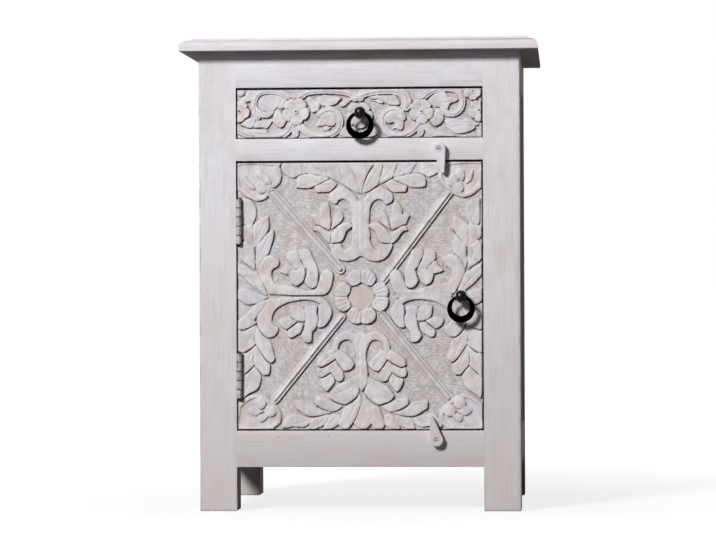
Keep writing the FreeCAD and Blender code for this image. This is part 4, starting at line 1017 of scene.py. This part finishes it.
VINE_RIGHT = [
    (3.0, 4.4, [(92, 10), (88, 16), (91, 20), (96, 24), (103, 26.8), (109, 27), (112, 23), (114, 20.5),
                (118, 20.5), (123, 19), (126.5, 16), (122, 13), (117, 11.5), (114.5, 7.5), (113, 4), (107, 6),
                (100, 6.5), (96, 7)]),
    (2.4, 3.6, [(108, -10), (114, -7.5), (122, -8), (131, -9), (140, -8), (148, -12), (152, -15),
                (147.5, -17.5), (138, -17), (129, -16.5), (121, -18.5), (113, -18)]),
    (2.8, 4.8, [(110, -17), (117, -18.5), (124, -17.5), (132, -16), (141, -17), (147.5, -18), (145.5, -22),
                (136, -25.8), (127, -27), (119.5, -25), (113.5, -20.5)]),
    (3.0, 4.8, [(12, 20.5), (20, 22.5), (30, 22.8), (40, 22.8), (46, 23), (50, 18), (52.5, 12), (51, 9.8),
                (46, 9.5), (40, 10.2), (34.5, 12.5), (32, 14.5), (24, 17), (16, 18)]),
    (3.0, 4.6, [(12, 17.5), (20, 16.5), (26, 16.5), (31.5, 14), (31, 12), (27, 12), (21.5, 14.5),
                (15, 15.5)]),
    (3.2, 4.8, [(57, -10), (55.5, -5), (52.5, -2), (49, 0.5), (44, 2), (39, 1.5), (35.5, -1.5), (34, -6),
                (34, -10), (36, -13), (39.5, -13.5), (42.5, -12.5), (45.5, -13), (45.5, -17), (43, -20.5),
                (47, -19.8), (50.5, -21.5), (54.5, -22), (57, -17)]),
]
VINE_LEFT = [
    (3.0, 5.4, [(-132, 30), (-138, 31), (-143, 27), (-145.5, 23), (-149, 21), (-152.5, 18), (-150.5, 15.5),
                (-145, 14.3), (-139.5, 15.5), (-135, 18), (-131, 22), (-131, 26)]),
    (1.9, 1.5, [(-103, 10), (-108, 4), (-113, 2.5), (-118, 3), (-124, 4), (-128, 8), (-130, 13), (-128, 19),
                (-125, 24), (-120, 26), (-112, 26.3), (-106, 25), (-103, 20)]),
    (4.4, 5.2, [(-108, 3), (-109, -1), (-113, -4.3), (-117.5, -5.5), (-122, -5.4), (-126.5, -4), (-130, -1),
                (-131, 5), (-130, 10), (-127, 7), (-122, 3), (-116, 2.2)]),
    (2.8, 4.0, [(-104, 23.5), (-100, 22.5), (-95, 20), (-90, 17), (-86, 14), (-90, 9), (-97, 6), (-103, 8),
                (-105, 15)]),
    (3.0, 4.4, [(-135, -4), (-132, -7), (-132.5, -13), (-135.5, -17.5), (-141, -18), (-147, -15.5),
                (-151, -13.5), (-148, -10), (-143, -6)]),
    (2.8, 4.4, [(-110, -8.5), (-116, -8), (-124, -8.5), (-131, -8), (-132.5, -13), (-134, -17.5), (-128, -18),
                (-122, -17.6), (-117.5, -19), (-113.5, -15)]),
    (2.8, 4.2, [(-157, -17), (-148, -17.5), (-138, -19), (-128, -19), (-118, -20), (-116.5, -23),
                (-122, -25.5), (-130, -27), (-140, -25), (-148, -22)]),
    (3.0, 5.2, [(-66, 20), (-62, 22), (-58, 19), (-54.7, 16.2), (-51.3, 14.2), (-49.2, 11), (-49.3, 7.3),
                (-50.9, 4.1), (-53.4, 2.2), (-56.6, 1.3), (-60, 1.6), (-61.5, 5), (-63, 9), (-66, 12)]),
    (3.0, 5.0, [(-54, 19), (-50, 21.5), (-44, 24.3), (-39, 23.3), (-33, 22), (-26, 21), (-22, 19),
                (-25, 15.3), (-28, 12.2), (-33, 10), (-40, 9), (-47, 9.8), (-50, 12), (-53, 15)]),
    (3.0, 4.8, [(-7.5, 17), (-8, 20), (-13, 19.5), (-18, 17.5), (-22, 14.5), (-24.5, 11.5), (-23, 8.5),
                (-19.7, 8), (-17, 9.2), (-14.5, 11.8), (-11.4, 14.6)]),
    (3.2, 5.0, [(-54, -16), (-50, -6), (-47, -3), (-44, -1.5), (-41, 1), (-36, 1.6), (-31, 0), (-29, -5),
                (-29, -11), (-31, -15.5), (-35, -16.5), (-39, -16), (-42, -15), (-45, -16)]),
    (3.4, 4.6, [(-45, -16.5), (-42, -15.5), (-38.5, -16.5), (-35.5, -17.5), (-37, -20.8), (-40, -22.4),
                (-43.8, -22), (-45, -19)]),
]
# Flowers of the vine, across and up, with their size as a share of the largest
VINE_FLOWERS = [(-80, 2.5, 1), (79.5, 1.5, 0.92), (1, -2.5, 1), (-152.8, 3.2, 0.82), (152.6, 2.5, 0.82),
                (144.5, 26.5, 0.66)]

# The lines that halves are mirrored about
DOOR_AXIS = 2.1
DRAWER_AXIS = -1.2
# The share of each carving's faces that is kept
DOOR_KEPT = 0.36
DRAWER_KEPT = 0.8
# How far the flat layer behind a carved board reaches into the carved one, in metres
OVERLAP = 0.0005


def carve_boss(relief, panel, stud):
    """A flat round boss where a pull's stud goes through a panel."""
    stud_low, stud_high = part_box(stud)
    offset = (stud_low + stud_high - panel.low - panel.high) / (2 * MM)
    carve_ball(relief, (offset.x, offset.z), radius=9, height=9)


def carve_medallion(relief, base, petals, berries):
    """A sunk base with a rim in a corner of the door, with petals and berries on it."""
    carve_form(relief, 3.8, 3.8, base, rim=5.5)
    for low, high, outline in petals:
        carve_form(relief, low, high, outline)
    for across, up, radius in berries:
        carve_ball(relief, (across, up), radius, height=5.5, squat=0.15)


def make_door():
    """The carved door, with notches for the leaves of its hinges."""
    low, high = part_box("door_panel")
    room = 0.5 * MM
    notches = []
    for which in ("lower", "upper"):
        leaf_low, leaf_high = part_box(f"{which}_hinge_door_leaf")
        notches.append((Vector((low.x, low.y, leaf_low.z - room)),
                        Vector((leaf_high.x, low.y, leaf_high.z + room))))
    panel = Panel(low, high, low.y + RELIEF * MM, notches)
    relief = Relief(panel)
    for width, groove, points in RIBS:
        carve_rib(relief, width, groove, RIB_HEIGHT, points)
    half = TOP_TREE + SIDE_TREE_ABOVE + SIDE_TREE_BELOW + BOTTOM_TREE
    for form in half + mirrored(half, DOOR_AXIS) + SINGLE_FORMS:
        carve_form(relief, *form)
    veined = TOP_TREE[:6] + SIDE_TREE_ABOVE[:6] + SIDE_TREE_BELOW[6:] + BOTTOM_TREE[1:]
    carve_veins(relief, veined + mirrored(veined, DOOR_AXIS))
    for beside in (-3.2, 3.2):
        line = DOOR_AXIS + beside
        score(relief, 0.9, 0.6, [(DOOR_AXIS + 1.6 * beside, 126), (line, 112), (line, 62)])
        score(relief, 0.9, 0.6, [(line, -58), (line, -90), (line, -112)])
    carve_medallion(relief, UPPER_LEFT_BASE, UPPER_LEFT_PETALS, UPPER_LEFT_BERRIES)
    carve_medallion(relief, LOWER_LEFT_BASE, LOWER_LEFT_PETALS, LOWER_LEFT_BERRIES)
    carve_medallion(relief, LOWER_RIGHT_BASE, LOWER_RIGHT_PETALS, LOWER_RIGHT_BERRIES)
    carve_medallion(relief, UPPER_RIGHT_BASE, UPPER_RIGHT_PETALS, UPPER_RIGHT_BERRIES)
    carve_rosette(relief, (2.5, -1.5))
    carve_boss(relief, panel, "door_pull_stud")
    flat_layer = 2.5 * MM
    split = high.y - flat_layer
    back_low = Vector((low.x, split - OVERLAP, low.z))
    make_carved_board("carved_door", panel, relief, DOOR_KEPT, split, back_low, high, CARVED_DOOR, "door",
                      "door_panel")


def make_drawer_front():
    """The carved drawer front, whose flat layer behind fits between the sides of the drawer box."""
    low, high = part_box("drawer_front")
    panel = Panel(low, high, low.y + RELIEF * MM, [])
    relief = Relief(panel)
    for widths, height, points in VINE_BANDS:
        carve_band(relief, widths, height, points)
    shared = VINE_BOTH + mirrored(VINE_BOTH, DRAWER_AXIS)
    for form in shared + VINE_LEFT + VINE_RIGHT:
        carve_form(relief, *form)
    carve_veins(relief, shared + VINE_LEFT[3:] + VINE_RIGHT)
    for across, up, size in VINE_FLOWERS:
        carve_flower(relief, (across, up), size)
    carve_ball(relief, (-150, 27), radius=6, height=5.4)
    carve_boss(relief, panel, "drawer_pull_stud")
    gap = 0.1 * MM
    side_low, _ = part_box("drawer_right_side")
    split = side_low.y - gap
    inner = side_low.x - gap
    back_low = Vector((-inner, split - OVERLAP, low.z))
    back_high = Vector((inner, high.y, high.z))
    make_carved_board("carved_drawer_front", panel, relief, DRAWER_KEPT, split, back_low, back_high,
                      CARVED_DRAWER, "drawer", "drawer_front")


# Finishes of the CAD nodes that stay

def finish_nodes():
    finishes = {
        WASHED["z"]: ["left_side_panel", "right_side_panel", "upper_turn_button", "lower_turn_button"],
        BARE["x"]: ["floor_panel", "drawer_back"],
        BARE["y"]: ["left_floor_cleat", "right_floor_cleat", "left_top_cleat", "right_top_cleat",
                    "left_runner", "right_runner", "left_kicker", "right_kicker", "drawer_stops",
                    "drawer_left_side", "drawer_right_side", "drawer_bottom"],
        BARE["z"]: ["back_panel", "door_stop_strip"],
        IRON: ["drawer_pull_stud", "door_pull_stud"],
        STEEL: ["cleat_screws", "runner_screws", "floor_brads", "drawer_brads", "hinge_frame_screws",
                "hinge_door_screws", "drawer_pull_washer", "drawer_pull_nut", "door_pull_washer",
                "door_pull_nut"],
    }
    for which in ("upper", "lower"):
        hinge = [f"{which}_hinge_{part}" for part in ("frame_leaf", "door_leaf", "pin")]
        finishes[washed_metal(which)] = hinge
        finishes[washed_screw(f"{which}_button_screw")] = [f"{which}_button_screw"]
    for material, nodes in finishes.items():
        for node in nodes:
            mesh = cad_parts[node].data
            mesh.materials.clear()
            mesh.materials.append(material)


# Floor, light and camera

def seen_directly(tree):
    """One for rays straight from the camera, and nothing for all others."""
    return add(tree, "ShaderNodeLightPath", {}).outputs["Is Camera Ray"]


def make_floor():
    """A pale floor that keeps the shadow near the object and goes over to white further off."""
    bm = bmesh.new()
    bmesh.ops.create_grid(bm, x_segments=1, y_segments=1, size=12)
    floor = object_of("floor", bm)
    material, tree, shader = new_material("pale_floor")
    reach = vector_of(tree, "LENGTH", "Value", object_coords(tree))
    far = ranged(tree, reach, 0.3, 1.0, 0.82, 1.0)
    glow = add(tree, "ShaderNodeEmission", {"Color": (1, 1, 1, 1),
                                            "Strength": math_of(tree, "MULTIPLY", far, seen_directly(tree))})
    fill(tree, shader, {"Base Color": (0.2, 0.2, 0.2, 1), "Roughness": 0.9, "Specular IOR Level": 0.0})
    both = add(tree, "ShaderNodeAddShader", {0: shader.outputs[0], 1: glow.outputs[0]})
    join(tree, both.outputs[0], tree.nodes["Material Output"].inputs["Surface"])
    floor.data.materials.append(material)


def make_world(front, behind):
    """White where it is seen. Its light is a little warm, faint from the front and stronger from behind."""
    world = bpy.data.worlds.new("studio")
    world.use_nodes = True
    tree = world.node_tree
    background = tree.nodes["Background"]
    join(tree, mix(tree, seen_directly(tree), (1, 0.86, 0.79, 1), (1, 1, 1, 1)), background.inputs["Color"])
    direction = add(tree, "ShaderNodeTexCoord", {}).outputs["Generated"]
    depth = add(tree, "ShaderNodeSeparateXYZ", {"Vector": direction}).outputs["Y"]
    dome = ranged(tree, depth, -0.1, 0.7, front, behind)
    join(tree, math_of(tree, "MAXIMUM", dome, seen_directly(tree)), background.inputs["Strength"])
    bpy.context.scene.world = world


def add_softbox(name, place, aim, size, power):
    """A white rectangular light, aimed at a point."""
    light = bpy.data.lights.new(name, "AREA")
    light.shape = "RECTANGLE"
    light.size, light.size_y = size
    light.energy = power
    lamp = bpy.data.objects.new(name, light)
    lamp.location = place
    lamp.rotation_mode = "QUATERNION"
    lamp.rotation_quaternion = (Vector(aim) - Vector(place)).to_track_quat("-Z", "Y")
    bpy.context.scene.collection.objects.link(lamp)


def make_camera():
    """A long lens, nearly level and a little to the right of the front. Its focal length is in pixels."""
    picture_width = 716
    focal_length = 3200
    roll = -0.234
    camera_data = bpy.data.cameras.new("camera")
    camera_data.sensor_width = 36
    camera_data.lens = camera_data.sensor_width * focal_length / picture_width
    camera_data.clip_end = 60
    camera = bpy.data.objects.new("camera", camera_data)
    camera.location = (0.2653, -4.2174, 0.29)
    aim = Vector((-0.0129, -0.0008, 0.3065))
    level = (aim - camera.location).to_track_quat("-Z", "Y")
    camera.rotation_mode = "QUATERNION"
    camera.rotation_quaternion = level @ Quaternion((0, 0, 1), math.radians(roll))
    bpy.context.scene.collection.objects.link(camera)
    bpy.context.scene.camera = camera


make_top()
make_frame()
make_door()
make_drawer_front()
make_ring("drawer_ring")
make_ring("door_ring")
finish_nodes()
make_floor()
make_world(front=0.035, behind=0.55)
add_softbox("key", place=(-2.6, -4.85, 3.4), aim=(0, -0.17, 0.35), size=(1.2, 1.2), power=415)
make_camera()
bpy.context.scene.view_settings.view_transform = "Standard"
